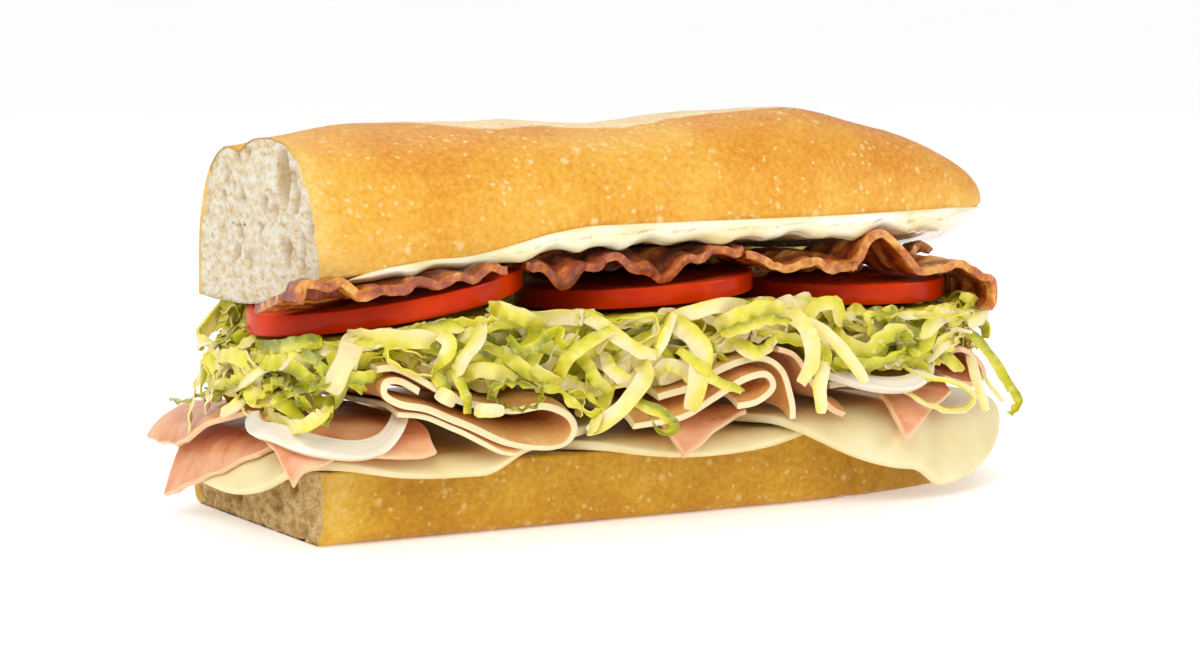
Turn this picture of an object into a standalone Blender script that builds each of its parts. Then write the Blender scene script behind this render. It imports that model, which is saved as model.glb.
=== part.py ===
"""A submarine sandwich with one cut end and one rounded heel, at its real size.

Metres, +Z up. X runs along the bread from the cut end to the heel, -Y is the open front, and the bread
stands on Z = 0. Each slice, shred heap and half of the bread is one closed object.
"""

import math
import random

import bmesh
import bpy
from mathutils import Matrix, Vector

# Bread: a 200 mm length of a baguette about 75 mm wide
BREAD_LENGTH = 0.200
CUT_END_X = -0.1015
HEEL_TIP_X = CUT_END_X + BREAD_LENGTH
HEEL_START_X = 0.020
HEEL_END_SCALE = 0.10
BOTTOM_HALF_WIDTH = 0.0378
BOTTOM_HEIGHT = 0.0170
BOTTOM_UNDERSIDE_SINK = 0.0008
HEEL_LIFT = 0.006
TOP_EDGE_WEAR = 0.0020
TOP_HALF_WIDTH = 0.0350
TOP_CENTRE_Y = -0.0015
CRUST_ROUNDING_FRONT = 2.1
CRUST_ROUNDING_BACK = 3.0
BOTTOM_ROUNDING = 10
SCORE_Y = 0.0090
SCORE_DEPTH = 0.0022
SCORE_WIDTH = 0.0045

# How sheets bend down where they pass the edge of the bottom bread
EDGE_BEND_RADIUS = 0.0050
EDGE_BEND_MOST = math.radians(62)
ROW_CROWDING = 1.8
TOUCH_GAP = 0.0004

# How high above the bread the ham lies: on one slice of cheese, on two that lap, and piled up
HAM_LOW = 0.0037
HAM_BASE = 0.0071
HAM_PILE = 0.0045

# Thicknesses of the sliced fillings
CHEESE_THICKNESS = 0.0022
HAM_THICKNESS = 0.0014
TURKEY_THICKNESS = 0.0016
BACON_THICKNESS = 0.0019
ONION_THICKNESS = 0.0026
ONION_WIDTH = 0.0040
ONION_BASE = 0.0098
SHRED_THICKNESS = 0.0011

SEED = 16


def clear_scene():
    for obj in list(bpy.data.objects):
        bpy.data.objects.remove(obj, do_unlink=True)


def material(name, colour, roughness):
    made = bpy.data.materials.new(name)
    made.use_nodes = True
    shader = made.node_tree.nodes["Principled BSDF"]
    shader.inputs["Base Color"].default_value = (*colour, 1.0)
    shader.inputs["Roughness"].default_value = roughness
    shader.inputs["Metallic"].default_value = 0.0
    return made


def ease(share):
    """Smooth step from 0 to 1."""
    share = min(max(share, 0.0), 1.0)
    return share * share * (3 - 2 * share)


def level(points, x):
    """The height at x of a line that eases from each (x, height) point to the next."""
    if x <= points[0][0]:
        return points[0][1]
    for (x0, z0), (x1, z1) in zip(points, points[1:]):
        if x <= x1:
            return z0 + (z1 - z0) * ease((x - x0) / (x1 - x0))
    return points[-1][1]


def along(points, share):
    """The point at that share of a smooth curve through the points."""
    count = len(points) - 1
    index = min(int(share * count), count - 1)
    t = share * count - index
    p0, p1, p2, p3 = (
        Vector(points[min(max(index + step, 0), count)]) for step in (-1, 0, 1, 2)
    )
    return 0.5 * (
        2 * p1
        + (p2 - p0) * t
        + (2 * p0 - 5 * p1 + 4 * p2 - p3) * t * t
        + (3 * p1 - p0 - 3 * p2 + p3) * t * t * t
    )


def heel_scale(x):
    """How far the bread has narrowed at x: 1 along its length, falling in an ellipse at the heel."""
    share = (x - HEEL_START_X) / (HEEL_TIP_X - HEEL_START_X)
    if share <= 0:
        return 1.0
    return max(math.sqrt(max(1 - share * share, 0.0)), HEEL_END_SCALE)


def divided_block(name, cuts):
    """A cube primitive whose sides are cut into strips along X, Y and Z."""
    bpy.ops.mesh.primitive_cube_add(size=2)
    block = bpy.context.object
    block.name = name
    mesh = bmesh.new()
    mesh.from_mesh(block.data)
    for axis, count in enumerate(cuts):
        edges = [
            edge
            for edge in mesh.edges
            if abs(edge.verts[0].co[axis] - edge.verts[1].co[axis]) > 1e-4
        ]
        bmesh.ops.subdivide_edges(mesh, edges=edges, cuts=count, use_grid_fill=True)
    mesh.to_mesh(block.data)
    mesh.free()
    return block


def rounded(across, up, half_width, height, power):
    """Moves a point of a block's section onto a rounded one: flat at up = 0, domed above it."""
    reach = max(abs(across), up)
    if reach < 1e-6:
        return 0.0, 0.0
    angle = math.atan2(up, across)
    ellipse = (abs(math.cos(angle)) ** power + math.sin(angle) ** power) ** (-1 / power)
    return (
        reach * half_width * ellipse * math.cos(angle),
        reach * height * ellipse * math.sin(angle),
    )


def station(share):
    """X of a bread section; the sections crowd together towards the heel."""
    return CUT_END_X + BREAD_LENGTH * (1 - (1 - share) ** 1.7)


# The top bread leans back: heights of its front lower edge, how much lower its back lies, and its crest
FRONT_EDGE = ((-0.1015, 0.0604), (-0.0700, 0.0638), (-0.0300, 0.0694), (0.0985, 0.0690))
FRONT_LIFT = (
    (-0.1015, 0.0092), (-0.0850, 0.0074), (-0.0600, 0.0045), (-0.0350, 0.0055), (0.0000, 0.0100),
    (0.0600, 0.0110), (0.0880, 0.0098), (0.0985, 0.0030),
)
LIFT_REACH = 0.042
CREST = (
    (-0.1015, 0.0903), (-0.0800, 0.0929), (-0.0410, 0.0930), (-0.0200, 0.0916), (0.0140, 0.0935),
    (0.0340, 0.0940), (0.0600, 0.0925), (0.0985, 0.0910),
)


def top_bread_underside(x, y):
    """Height of the top bread's cut face, which curls up to its front edge."""
    front = TOP_CENTRE_Y - TOP_HALF_WIDTH * heel_scale(x)
    share = min(max((y - front) / (LIFT_REACH * heel_scale(x)), 0.0), 1.0)
    return level(FRONT_EDGE, x) - level(FRONT_LIFT, x) * (1 - (1 - share) ** 1.3)


def top_bread():
    """The lid: domed crust, a shallow score along the crest, and a flat cut end."""
    bread = divided_block("top_bread", (21, 9, 4))
    for vertex in bread.data.vertices:
        along_share, across, up = vertex.co
        x = station((along_share + 1) / 2)
        scale = heel_scale(x)
        power = CRUST_ROUNDING_FRONT if across < 0 else CRUST_ROUNDING_BACK
        crest = level(CREST, x) - top_bread_underside(x, TOP_CENTRE_Y)
        side, rise = rounded(across, (up + 1) / 2, TOP_HALF_WIDTH * scale, crest * scale, power)
        y = TOP_CENTRE_Y + side
        z = top_bread_underside(x, y) + rise
        if rise > 0.5 * crest * scale:
            z -= SCORE_DEPTH * scale * math.exp(-(((y - SCORE_Y) / SCORE_WIDTH) ** 2))
        vertex.co = (x, y, z)
    return bread


def bottom_bread():
    """The base: crusty sides rounded into a flat underside, and a level cut top."""
    bread = divided_block("bottom_bread", (17, 9, 3))
    for vertex in bread.data.vertices:
        along_share, across, up = vertex.co
        x = station((along_share + 1) / 2)
        scale = heel_scale(x)
        height = BOTTOM_HEIGHT + BOTTOM_UNDERSIDE_SINK
        side, drop = rounded(
            across, (1 - up) / 2, BOTTOM_HALF_WIDTH * scale, height, BOTTOM_ROUNDING
        )
        lift = HEEL_LIFT * (1 - scale) ** 2
        worn = TOP_EDGE_WEAR if up == 1 and (abs(across) == 1 or along_share == -1) else 0.0
        vertex.co = (x, side, max(BOTTOM_HEIGHT - drop, lift) - worn)
    return bread


def outside_bread(x, y):
    """(distance, outward direction, nearest edge point) of a point past the bottom bread's outline."""
    half = BOTTOM_HALF_WIDTH * heel_scale(max(x, CUT_END_X)) if x < HEEL_TIP_X else 0.0
    if x > HEEL_START_X:
        long_half, wide_half = HEEL_TIP_X - HEEL_START_X, BOTTOM_HALF_WIDTH
        px, py = (x - HEEL_START_X), y
        size = math.hypot(px / long_half, py / wide_half)
        if size <= 1:
            return 0.0, Vector((0, 0)), Vector((x, y))
        edge = Vector((px / size, py / size))
        for _ in range(3):
            normal = Vector((edge.x / long_half**2, edge.y / wide_half**2)).normalized()
            gap = Vector((px, py)) - edge
            edge = edge + (gap - gap.dot(normal) * normal) * 0.6
            edge = edge / math.hypot(edge.x / long_half, edge.y / wide_half)
        gap = Vector((px, py)) - edge
        return gap.length, gap.normalized(), edge + Vector((HEEL_START_X, 0))
    edge = Vector((max(x, CUT_END_X), min(max(y, -half), half)))
    gap = Vector((x, y)) - edge
    if gap.length < 1e-9:
        return 0.0, Vector((0, 0)), edge
    return gap.length, gap.normalized(), edge


def drape(x, y, lift):
    """Where a filling's point goes: it lies above the bottom bread, and bends down past its edge."""
    distance, outward, edge = outside_bread(x, y)
    if distance == 0:
        return Vector((x, y, BOTTOM_HEIGHT + lift))
    radius = EDGE_BEND_RADIUS + lift
    bend = min(distance / radius, EDGE_BEND_MOST)
    rest = distance - bend * radius
    out = radius * math.sin(bend) + rest * math.cos(bend)
    fall = radius * math.cos(bend) - rest * math.sin(bend)
    spot = edge + outward * out
    return Vector((spot.x, spot.y, BOTTOM_HEIGHT - EDGE_BEND_RADIUS + fall))


def sheet(name, columns, rows, place, thickness):
    """A slice: a grid primitive whose points are placed by a function of two shares, made solid."""
    bpy.ops.mesh.primitive_grid_add(x_subdivisions=columns, y_subdivisions=rows, size=2)
    made = bpy.context.object
    made.name = name
    for vertex in made.data.vertices:
        vertex.co = place((vertex.co.x + 1) / 2, (vertex.co.y + 1) / 2)
    solid = made.modifiers.new("thickness", "SOLIDIFY")
    solid.thickness = thickness
    solid.offset = 0
    return made


def disc_point(u, v, radius, power=2.0):
    """Maps a square's point onto a round, or with a higher power a squarer, slice."""
    a, b = 2 * u - 1, 2 * v - 1
    reach = max(abs(a), abs(b))
    if reach < 1e-9:
        return 0.0, 0.0
    length = (abs(a) ** power + abs(b) ** power) ** (1 / power)
    return radius * reach * a / length, radius * reach * b / length


def cheese(name, centre, radius, squareness, lift_at):
    """A roundish slice of pale cheese, draped over the edge of the bread."""

    def place(u, v):
        dx, dy = disc_point(u, v, radius, squareness)
        x, y = centre[0] + dx, centre[1] + dy
        return drape(x, y, lift_at(x) + CHEESE_THICKNESS / 2 + TOUCH_GAP)

    return sheet(name, 10, 10, place, CHEESE_THICKNESS)


def cheese_slices():
    """Three slices in a row. The outer two lap over the middle one."""
    lap = CHEESE_THICKNESS + 3 * TOUCH_GAP
    ramp = 0.012
    return [
        cheese("cheese_middle", (-0.003, 0.0026), 0.0475, 2.5, lambda x: 0.0),
        cheese(
            "cheese_left", (-0.068, 0.0023), 0.0475, 2.5,
            lambda x: lap * ease((x + 0.064) / ramp),
        ),
        cheese(
            "cheese_right", (0.0495, -0.0065), 0.0485, 2.0,
            lambda x: lap * ease((0.064 - x) / ramp),
        ),
    ]


def ham_rise(x, y):
    """How much higher the ham is piled at the cut end, behind its front edge."""
    across = ease((y + 0.0500) / 0.0160) * (1 - ease((y + 0.0020) / 0.0300))
    return HAM_PILE * (1 - 0.4 * ease((x + 0.102) / 0.022)) * across


def flat_ham(name, corners, lift_at, bay=0.0, columns=8, rows=8):
    """An unfolded slice of ham: a patch between four corners, draped over the edge.

    bay draws the middle of its left edge back in.
    """
    front_left, front_right, back_left, back_right = (Vector(c) for c in corners)

    def place(u, v):
        front = front_left.lerp(front_right, u)
        back = back_left.lerp(back_right, u)
        spot = front.lerp(back, v)
        spot.x += bay * (1 - u) ** 2 * math.exp(-(((v - 0.40) / 0.16) ** 2))
        return drape(spot.x, spot.y, lift_at(spot.x, spot.y))

    return sheet(name, columns, rows, place, HAM_THICKNESS)


def folded(name, path, front_y, back_y, thickness, columns, rows=4, front_curve=0.0, squash=0.75):
    """A folded slice: its (x, lift) path shows at the front, and it runs through to the back."""

    def place(u, v):
        bend = along(path, u)
        y = front_y + (back_y - front_y) * v**ROW_CROWDING + front_curve * math.sin(math.pi * u) * (1 - v)
        low = 0.0062
        lift = low + (bend.y - low) * (1 - (1 - squash) * v)
        return drape(bend.x, y, lift)

    return sheet(name, columns, rows, place, thickness)


def ham_slices():
    """Ham lies flat on the cheese with its corners hanging over the edges, and stands in two folds."""
    return [
        flat_ham(
            "ham_end",
            ((-0.1080, -0.0150), (-0.0840, -0.0260), (-0.1235, 0.0230), (-0.0840, 0.0320)),
            lambda x, y: HAM_LOW,
            columns=6,
            rows=6,
        ),
        flat_ham(
            "ham_left",
            ((-0.1150, -0.0465), (-0.0775, -0.0475), (-0.1170, 0.0390), (-0.0765, 0.0340)),
            lambda x, y: HAM_BASE + ham_rise(x, y),
            bay=0.0090,
        ),
        flat_ham(
            "ham_middle",
            ((-0.0150, -0.0530), (0.0080, -0.0400), (-0.0340, 0.0330), (0.0080, 0.0350)),
            lambda x, y: HAM_BASE,
        ),
        flat_ham(
            "ham_right",
            ((0.0460, -0.0570), (0.0680, -0.0390), (0.0360, 0.0300), (0.0740, 0.0140)),
            lambda x, y: HAM_BASE + 0.0035 * ease((0.015 - y) / 0.07),
        ),
        folded(
            "ham_fold",
            ((0.0125, 0.0240), (0.0180, 0.0215), (0.0225, 0.0155), (0.0265, 0.0110), (0.0315, 0.0088)),
            -0.0470,
            0.0340,
            HAM_THICKNESS,
            12,
        ),
        folded(
            "ham_roll",
            ((0.0640, 0.0185), (0.0700, 0.0205), (0.0760, 0.0180), (0.0775, 0.0150), (0.0730, 0.0128),
             (0.0650, 0.0135)),
            -0.0400,
            0.0220,
            HAM_THICKNESS,
            12,
        ),
    ]


def turkey_slices():
    """Turkey is folded over on itself, so its cut edges show as long loops at the front."""
    return [
        folded(
            "turkey_left",
            (
                (-0.0925, 0.0258),
                (-0.0885, 0.0257),
                (-0.0840, 0.0240),
                (-0.0770, 0.0202),
                (-0.0690, 0.0170),
                (-0.0600, 0.0152),
                (-0.0515, 0.0157),
                (-0.0450, 0.0138),
                (-0.0428, 0.0105),
                (-0.0455, 0.0078),
                (-0.0535, 0.0078),
                (-0.0628, 0.0096),
                (-0.0729, 0.0138),
                (-0.0804, 0.0167),
                (-0.0870, 0.0182),
                (-0.0908, 0.0203),
                (-0.0905, 0.0228),
                (-0.0870, 0.0229),
                (-0.0825, 0.0206),
            ),
            -0.0480,
            0.0340,
            TURKEY_THICKNESS,
            36,
        ),
        folded(
            "turkey_middle",
            (
                (-0.0270, 0.0100),
                (-0.0150, 0.0110),
                (-0.0050, 0.0150),
                (0.0030, 0.0186),
                (0.0085, 0.0190),
                (0.0105, 0.0160),
                (0.0060, 0.0134),
                (0.0010, 0.0126),
            ),
            -0.0480,
            0.0340,
            TURKEY_THICKNESS,
            18,
        ),
        folded(
            "turkey_over",
            (
                (-0.0200, 0.0150),
                (-0.0120, 0.0164),
                (-0.0030, 0.0206),
                (0.0070, 0.0224),
                (0.0135, 0.0190),
                (0.0165, 0.0125),
                (0.0170, 0.0085),
            ),
            -0.0470,
            0.0340,
            TURKEY_THICKNESS,
            16,
        ),
        folded(
            "turkey_right",
            ((0.0310, 0.0122), (0.0420, 0.0126), (0.0520, 0.0128), (0.0600, 0.0132)),
            -0.0400,
            0.0300,
            TURKEY_THICKNESS,
            5,
        ),
    ]


def onion_ring(name, centre, radius, start, sweep, lift_at):
    """Part of a sliced onion ring: a flat bow that hangs forward over the slices."""

    def place(u, v):
        angle = start + sweep * u
        reach = radius + ONION_WIDTH * (v - 0.5)
        x = centre[0] + reach * math.cos(angle)
        y = centre[1] + reach * math.sin(angle)
        return drape(x, y, lift_at(x, y))

    return sheet(name, 18, 2, place, ONION_THICKNESS)


def onion_rings():
    return [
        onion_ring(
            "onion_left", (-0.0980, -0.0320), 0.0168, math.radians(145), math.radians(195),
            lambda x, y: ONION_BASE + ham_rise(x, y) + 0.0014 * ease((x + 0.092) / 0.010),
        ),
        onion_ring(
            "onion_right", (0.0430, -0.0310), 0.0185, math.radians(196), math.radians(148),
            lambda x, y: 0.0160,
        ),
    ]


# Each tomato slice: centre, radius, thickness, and how it slopes along X and along Y
TOMATOES = {
    "tomato_left": ((-0.0729, -0.0100, 0.0529), 0.0322, 0.0050, 0.152, -0.040),
    "tomato_middle": ((-0.0070, -0.0115, 0.0525), 0.0288, 0.0046, 0.055, -0.025),
    "tomato_right": ((0.0530, -0.0100, 0.0497), 0.0265, 0.0050, -0.005, 0.0),
}


def tomato_height(name, x, y):
    """Height of the middle of a tomato slice's thickness at (x, y)."""
    centre, _, _, along_slope, across_slope = TOMATOES[name]
    return centre[2] + along_slope * (x - centre[0]) + across_slope * (y - centre[1])


def tomatoes_at(x, y, margin):
    """The tomato slices that lie within that margin of (x, y)."""
    return [
        name
        for name, (centre, radius, *_) in TOMATOES.items()
        if math.hypot(x - centre[0], y - centre[1]) < radius + margin
    ]


def tomato(name):
    """A round slice, cut across the fruit."""
    centre, radius, thickness, _, _ = TOMATOES[name]

    def place(u, v):
        dx, dy = disc_point(u, v, radius)
        x, y = centre[0] + dx, centre[1] + dy
        return Vector((x, y, tomato_height(name, x, y)))

    return sheet(name, 8, 8, place, thickness)


def tomato_slices():
    return [tomato(name) for name in TOMATOES]


MAYO_START_X = CUT_END_X + 0.007
MAYO_LENGTH = 0.180
MAYO_REAR_Y = -0.016
MAYO_REAR = ((0.0500, -0.0160), (0.0780, 0.0040), (0.0985, 0.0020))
THICK_MAYO_X = -0.075


def mayonnaise_thickness(x, back_share):
    """Thick in waves along the front edge of the bread, and thin behind it."""
    swell = ease((x - THICK_MAYO_X) / 0.035) * ease((HEEL_TIP_X - 0.004 - x) / 0.03)
    waves = 0.0006 * math.sin(75 * x * math.tau) + 0.0006 * math.sin(31 * x * math.tau + 1)
    return 0.0010 + (0.0027 + waves) * swell * (1 - back_share) ** 2


def mayonnaise():
    """Spread under the top bread, with a thick wavy lip along the front edge."""
    spread = divided_block("mayonnaise", (25, 4, 0))
    for vertex in spread.data.vertices:
        along_share, across, up = vertex.co
        x = MAYO_START_X + MAYO_LENGTH * (along_share + 1) / 2
        half = TOP_HALF_WIDTH * heel_scale(x)
        front = TOP_CENTRE_Y - half + 0.0004
        rear = level(MAYO_REAR, x)
        back_share = (across + 1) / 2
        y = front + (rear - front) * back_share**1.2
        top = top_bread_underside(x, y) - 1.5 * TOUCH_GAP
        drop = mayonnaise_thickness(x, back_share) * (1 - up) / 2
        vertex.co = (x, y - 0.0004 * (1 - back_share) * (1 - up), top - drop)
    return spread


def bacon(name, path, front_y, back_y, waves):
    """A fried strip between tomato and bread: its wavy (x, z) path shows at the front."""
    half = BACON_THICKNESS / 2 + 1.5 * TOUCH_GAP

    def place(u, v):
        spot = along(path, u)
        x, y = spot.x, front_y + (back_y - front_y) * v
        z = spot.y + waves * math.sin(u * math.tau * 3.2 + 1.8 * v) * (1 - 0.8 * v)
        front = TOP_CENTRE_Y - TOP_HALF_WIDTH * heel_scale(x)
        if y > front - 0.003:
            back_share = min(max((y - front) / (MAYO_REAR_Y - front), 0.0), 1.0)
            roof = top_bread_underside(x, y) - 1.5 * TOUCH_GAP
            z = min(z, roof - mayonnaise_thickness(x, 0.7 * back_share) - half)
        for name in tomatoes_at(x, y, 0.004):
            z = max(z, tomato_height(name, x, y) + TOMATOES[name][2] / 2 + half)
        return Vector((x, y, z))

    return sheet(name, 16, 2, place, BACON_THICKNESS)


def bacon_strips():
    return [
        bacon(
            "bacon_left",
            ((-0.1120, 0.0555), (-0.1060, 0.0582), (-0.0960, 0.0572), (-0.0860, 0.0555),
             (-0.0720, 0.0590), (-0.0580, 0.0610)),
            -0.0440, -0.0200, 0.0005,
        ),
        bacon(
            "bacon_middle",
            ((-0.0500, 0.0620), (-0.0400, 0.0600), (-0.0250, 0.0605), (-0.0100, 0.0585),
             (0.0060, 0.0620)),
            -0.0380, -0.0150, 0.0008,
        ),
        bacon(
            "bacon_right",
            ((0.0110, 0.0605), (0.0190, 0.0585), (0.0270, 0.0590), (0.0330, 0.0580),
             (0.0375, 0.0560)),
            -0.0390, -0.0150, 0.0003,
        ),
        bacon(
            "bacon_end",
            ((0.0415, 0.0600), (0.0480, 0.0630), (0.0545, 0.0615), (0.0600, 0.0572),
             (0.0680, 0.0572), (0.0750, 0.0535), (0.0800, 0.0500), (0.0800, 0.0455)),
            -0.0380, -0.0150, 0.0,
        ),
        bacon(
            "bacon_inner",
            ((-0.0400, 0.0605), (-0.0100, 0.0590), (0.0200, 0.0590), (0.0500, 0.0580), (0.0800, 0.0570)),
            -0.0115, 0.0170, 0.0012,
        ),
    ]


MEAT_TOP = (
    (-0.1010, 0.0325), (-0.0960, 0.0428), (-0.0880, 0.0434), (-0.0800, 0.0428), (-0.0680, 0.0365),
    (-0.0500, 0.0350), (-0.0380, 0.0320), (-0.0280, 0.0350), (-0.0150, 0.0365), (-0.0030, 0.0410),
    (0.0120, 0.0430), (0.0200, 0.0420), (0.0300, 0.0360), (0.0580, 0.0360), (0.0640, 0.0395),
    (0.0790, 0.0390), (0.0865, 0.0340),
)
LETTUCE_TOP = 0.0500
LETTUCE_BACK_RISE = 0.0080
LETTUCE_CENTRE_X = -0.0100
LETTUCE_HALF_LENGTH = 0.0965


# One long shred hangs from the heap at the heel
LONG_SHRED = (
    (0.0780, -0.0320, 0.0420), (0.0860, -0.0385, 0.0430), (0.0900, -0.0400, 0.0350),
    (0.0925, -0.0400, 0.0270), (0.0900, -0.0400, 0.0225),
)


def lettuce_roof(x, y):
    """The top of the packed heap: just under the tomato, or level where there is none."""
    roofs = [tomato_height(name, x, y) - TOMATOES[name][2] / 2 for name in tomatoes_at(x, y, 0.012)]
    level_roof = LETTUCE_TOP - 0.03 * (y + 0.040) - 0.5 * max(x - 0.076, 0.0)
    level_roof = min(
        level_roof + LETTUCE_BACK_RISE * ease((y - 0.024) / 0.014),
        top_bread_underside(x, y) - 4 * TOUCH_GAP,
    )
    return min([level_roof] + [roof - 4 * TOUCH_GAP for roof in roofs])


def lettuce_core():
    """The packed middle of the shredded lettuce, between the folded meats and the tomato."""
    core = divided_block("lettuce", (24, 5, 1))
    for vertex in core.data.vertices:
        along_share, across, up = vertex.co
        x = LETTUCE_CENTRE_X + LETTUCE_HALF_LENGTH * along_share
        half = 0.0400 * math.sqrt(max(1 - abs(along_share) ** 8, 0.1))
        y = half * across - 0.0015 + (0.0010 * math.sin(240 * x) if across < -0.9 else 0.0)
        low = level(MEAT_TOP, x) + 0.0006
        high = max(lettuce_roof(x, y), low + 0.0012)
        vertex.co = (x, y, low + (high - low) * (up + 1) / 2)
    return core


def shred(points, widths, twist, columns=8):
    """A cut ribbon of lettuce along a smooth path, turning about it by the twist."""
    facing = Vector((0.2, -1.0, 0.35)).normalized()

    def place(u, v):
        spot = along(points, u)
        ahead = (along(points, min(u + 0.02, 1.0)) - along(points, max(u - 0.02, 0.0))).normalized()
        side = ahead.cross(facing)
        side = side.normalized() if side.length > 1e-3 else Vector((0, 0, 1))
        side = Matrix.Rotation(twist * (u - 0.5), 3, ahead) @ side
        width = widths[0] + (widths[1] - widths[0]) * u
        return spot + side * width * (v - 0.5)

    return sheet("shred", columns, 1, place, SHRED_THICKNESS)


def lettuce_shreds(rng):
    """Shreds that show: loops along the front, and ends that lean out at the back and both ends."""
    made = []
    front_count, back_count = 22, 8
    for index in range(front_count):
        x = -0.096 + 0.172 * (index + 0.5) / front_count + rng.uniform(-0.003, 0.003)
        low, high = level(MEAT_TOP, x) + 0.0030, lettuce_roof(x, -0.044) - 0.0020
        z0, z1, z2 = (low + (high - low) * rng.random() for _ in range(3))
        run = rng.uniform(0.009, 0.015) * rng.choice((-1, 1))
        out = rng.uniform(0.003, 0.0075)
        points = [
            (x - run, -0.0370, z0),
            (x - 0.7 * run, -0.0420 - 0.6 * out, z0),
            (x, -0.0430 - out, z1),
            (x + 0.7 * run, -0.0420 - 0.6 * out, z2),
            (x + run, -0.0370, z2),
        ]
        made.append(shred(points, (0.0040, 0.0030), rng.uniform(-1.2, 1.2)))
    for x in (-0.1040, -0.0980, -0.0760, -0.0400, -0.0300, 0.0240, 0.0380, 0.0700):
        z = level(MEAT_TOP, x) + 0.0040
        lean = rng.uniform(-0.006, 0.006)
        points = [
            (x, -0.038, z),
            (x, -0.046, z + 0.0010),
            (x + lean, -0.0510, z - 0.0030),
            (x + 1.4 * lean, -0.0515, z - rng.uniform(0.007, 0.012)),
        ]
        made.append(shred(points, (0.0040, 0.0030), rng.uniform(-0.6, 0.6)))
    for index in range(back_count):
        x = -0.090 + 0.165 * (index + 0.5) / back_count
        z = level(MEAT_TOP, x) + 0.0040
        points = [
            (x, 0.026, z),
            (x + rng.uniform(-0.008, 0.008), 0.040, z),
            (x + rng.uniform(-0.014, 0.014), 0.046, z - rng.uniform(0.001, 0.006)),
        ]
        made.append(shred(points, (0.0042, 0.0032), rng.uniform(-1.0, 1.0), 6))
    for side, count, height, reach in ((-1, 9, 0.0418, 0.0070), (1, 5, 0.0390, 0.0060)):
        for index in range(count):
            y = -0.036 + 0.060 * (index + 0.5) / count
            x = LETTUCE_CENTRE_X + side * (LETTUCE_HALF_LENGTH - 0.004)
            z = height - 0.006 * (index % 2)
            out = reach * rng.uniform(0.7, 1.1)
            points = [
                (x, y, z),
                (x + side * 0.005, y, z + 0.001),
                (x + side * (0.003 + out), y + rng.uniform(-0.004, 0.004), z - 0.004),
                (x + side * (0.004 + out), y + rng.uniform(-0.006, 0.006), z - rng.uniform(0.006, 0.010)),
            ]
            made.append(shred(points, (0.0042, 0.0032), rng.uniform(-0.8, 0.8), 7))
    made.append(shred(LONG_SHRED, (0.0045, 0.0040), 0.6))
    return made


def as_mesh(obj):
    """Fixes an object's modifiers into its mesh."""
    graph = bpy.context.evaluated_depsgraph_get()
    finished = bpy.data.meshes.new_from_object(obj.evaluated_get(graph))
    obj.modifiers.clear()
    obj.data = finished
    return obj


def fill_pockets(obj):
    """Removes the skins of sealed air pockets, and any crumb that broke off, and keeps the outer skin."""
    mesh = bmesh.new()
    mesh.from_mesh(obj.data)
    unseen = set(mesh.faces)
    skins = []
    while unseen:
        skin, front = [], [unseen.pop()]
        while front:
            face = front.pop()
            skin.append(face)
            near = {other for edge in face.edges for other in edge.link_faces} & unseen
            unseen -= near
            front += near
        skins.append(skin)
    skins.sort(key=len)
    for skin in skins[:-1]:
        bmesh.ops.delete(mesh, geom=skin, context="FACES")
    mesh.to_mesh(obj.data)
    mesh.free()


def lettuce(rng):
    """The shredded heap as one solid: the packed core with the shreds that show joined on."""
    core = lettuce_core()
    shreds = bpy.data.collections.new("shreds")
    bpy.context.scene.collection.children.link(shreds)
    for piece in lettuce_shreds(rng):
        as_mesh(piece)
        for owner in list(piece.users_collection):
            owner.objects.unlink(piece)
        shreds.objects.link(piece)
    join = core.modifiers.new("joined shreds", "BOOLEAN")
    join.operation = "UNION"
    join.operand_type = "COLLECTION"
    join.collection = shreds
    join.solver = "MANIFOLD"
    as_mesh(core)
    for piece in list(shreds.objects):
        bpy.data.objects.remove(piece, do_unlink=True)
    bpy.data.collections.remove(shreds)
    fill_pockets(core)
    return core


def stand_on_origin(objects):
    """Puts everything under one empty, with the origin at the centre of the whole thing's base."""
    bpy.context.view_layer.update()
    graph = bpy.context.evaluated_depsgraph_get()
    corners = []
    for obj in objects:
        seen = obj.evaluated_get(graph)
        corners += [seen.matrix_world @ vertex.co for vertex in seen.data.vertices]
    middle = [
        (min(c[axis] for c in corners) + max(c[axis] for c in corners)) / 2 for axis in (0, 1)
    ]
    holder = bpy.data.objects.new("sandwich", None)
    bpy.context.scene.collection.objects.link(holder)
    holder.location = (-middle[0], -middle[1], 0)
    for obj in objects:
        obj.parent = holder


def main():
    clear_scene()
    rng = random.Random(SEED)
    crust = material("crust", (0.80, 0.47, 0.13), 0.6)
    finishes = (
        ([bottom_bread(), top_bread()], crust),
        (cheese_slices(), material("cheese", (0.91, 0.80, 0.50), 0.45)),
        (ham_slices(), material("ham", (0.83, 0.45, 0.34), 0.4)),
        (turkey_slices(), material("turkey", (0.86, 0.66, 0.42), 0.45)),
        (onion_rings(), material("onion", (0.88, 0.84, 0.76), 0.3)),
        ([lettuce(rng)], material("lettuce", (0.62, 0.66, 0.16), 0.45)),
        (tomato_slices(), material("tomato", (0.62, 0.05, 0.02), 0.25)),
        (bacon_strips(), material("bacon", (0.42, 0.12, 0.04), 0.4)),
        ([mayonnaise()], material("mayonnaise", (0.93, 0.88, 0.68), 0.25)),
    )
    stack = bpy.data.collections.new("submarine_sandwich")
    bpy.context.scene.collection.children.link(stack)
    everything = []
    for objects, finish in finishes:
        for obj in objects:
            obj.data.materials.clear()
            obj.data.materials.append(finish)
            for owner in list(obj.users_collection):
                owner.objects.unlink(obj)
            stack.objects.link(obj)
            everything.append(obj)
    stand_on_origin(everything)


main()
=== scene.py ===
import math
import random

import bmesh
import bpy
from mathutils import Matrix, Vector, noise


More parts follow.
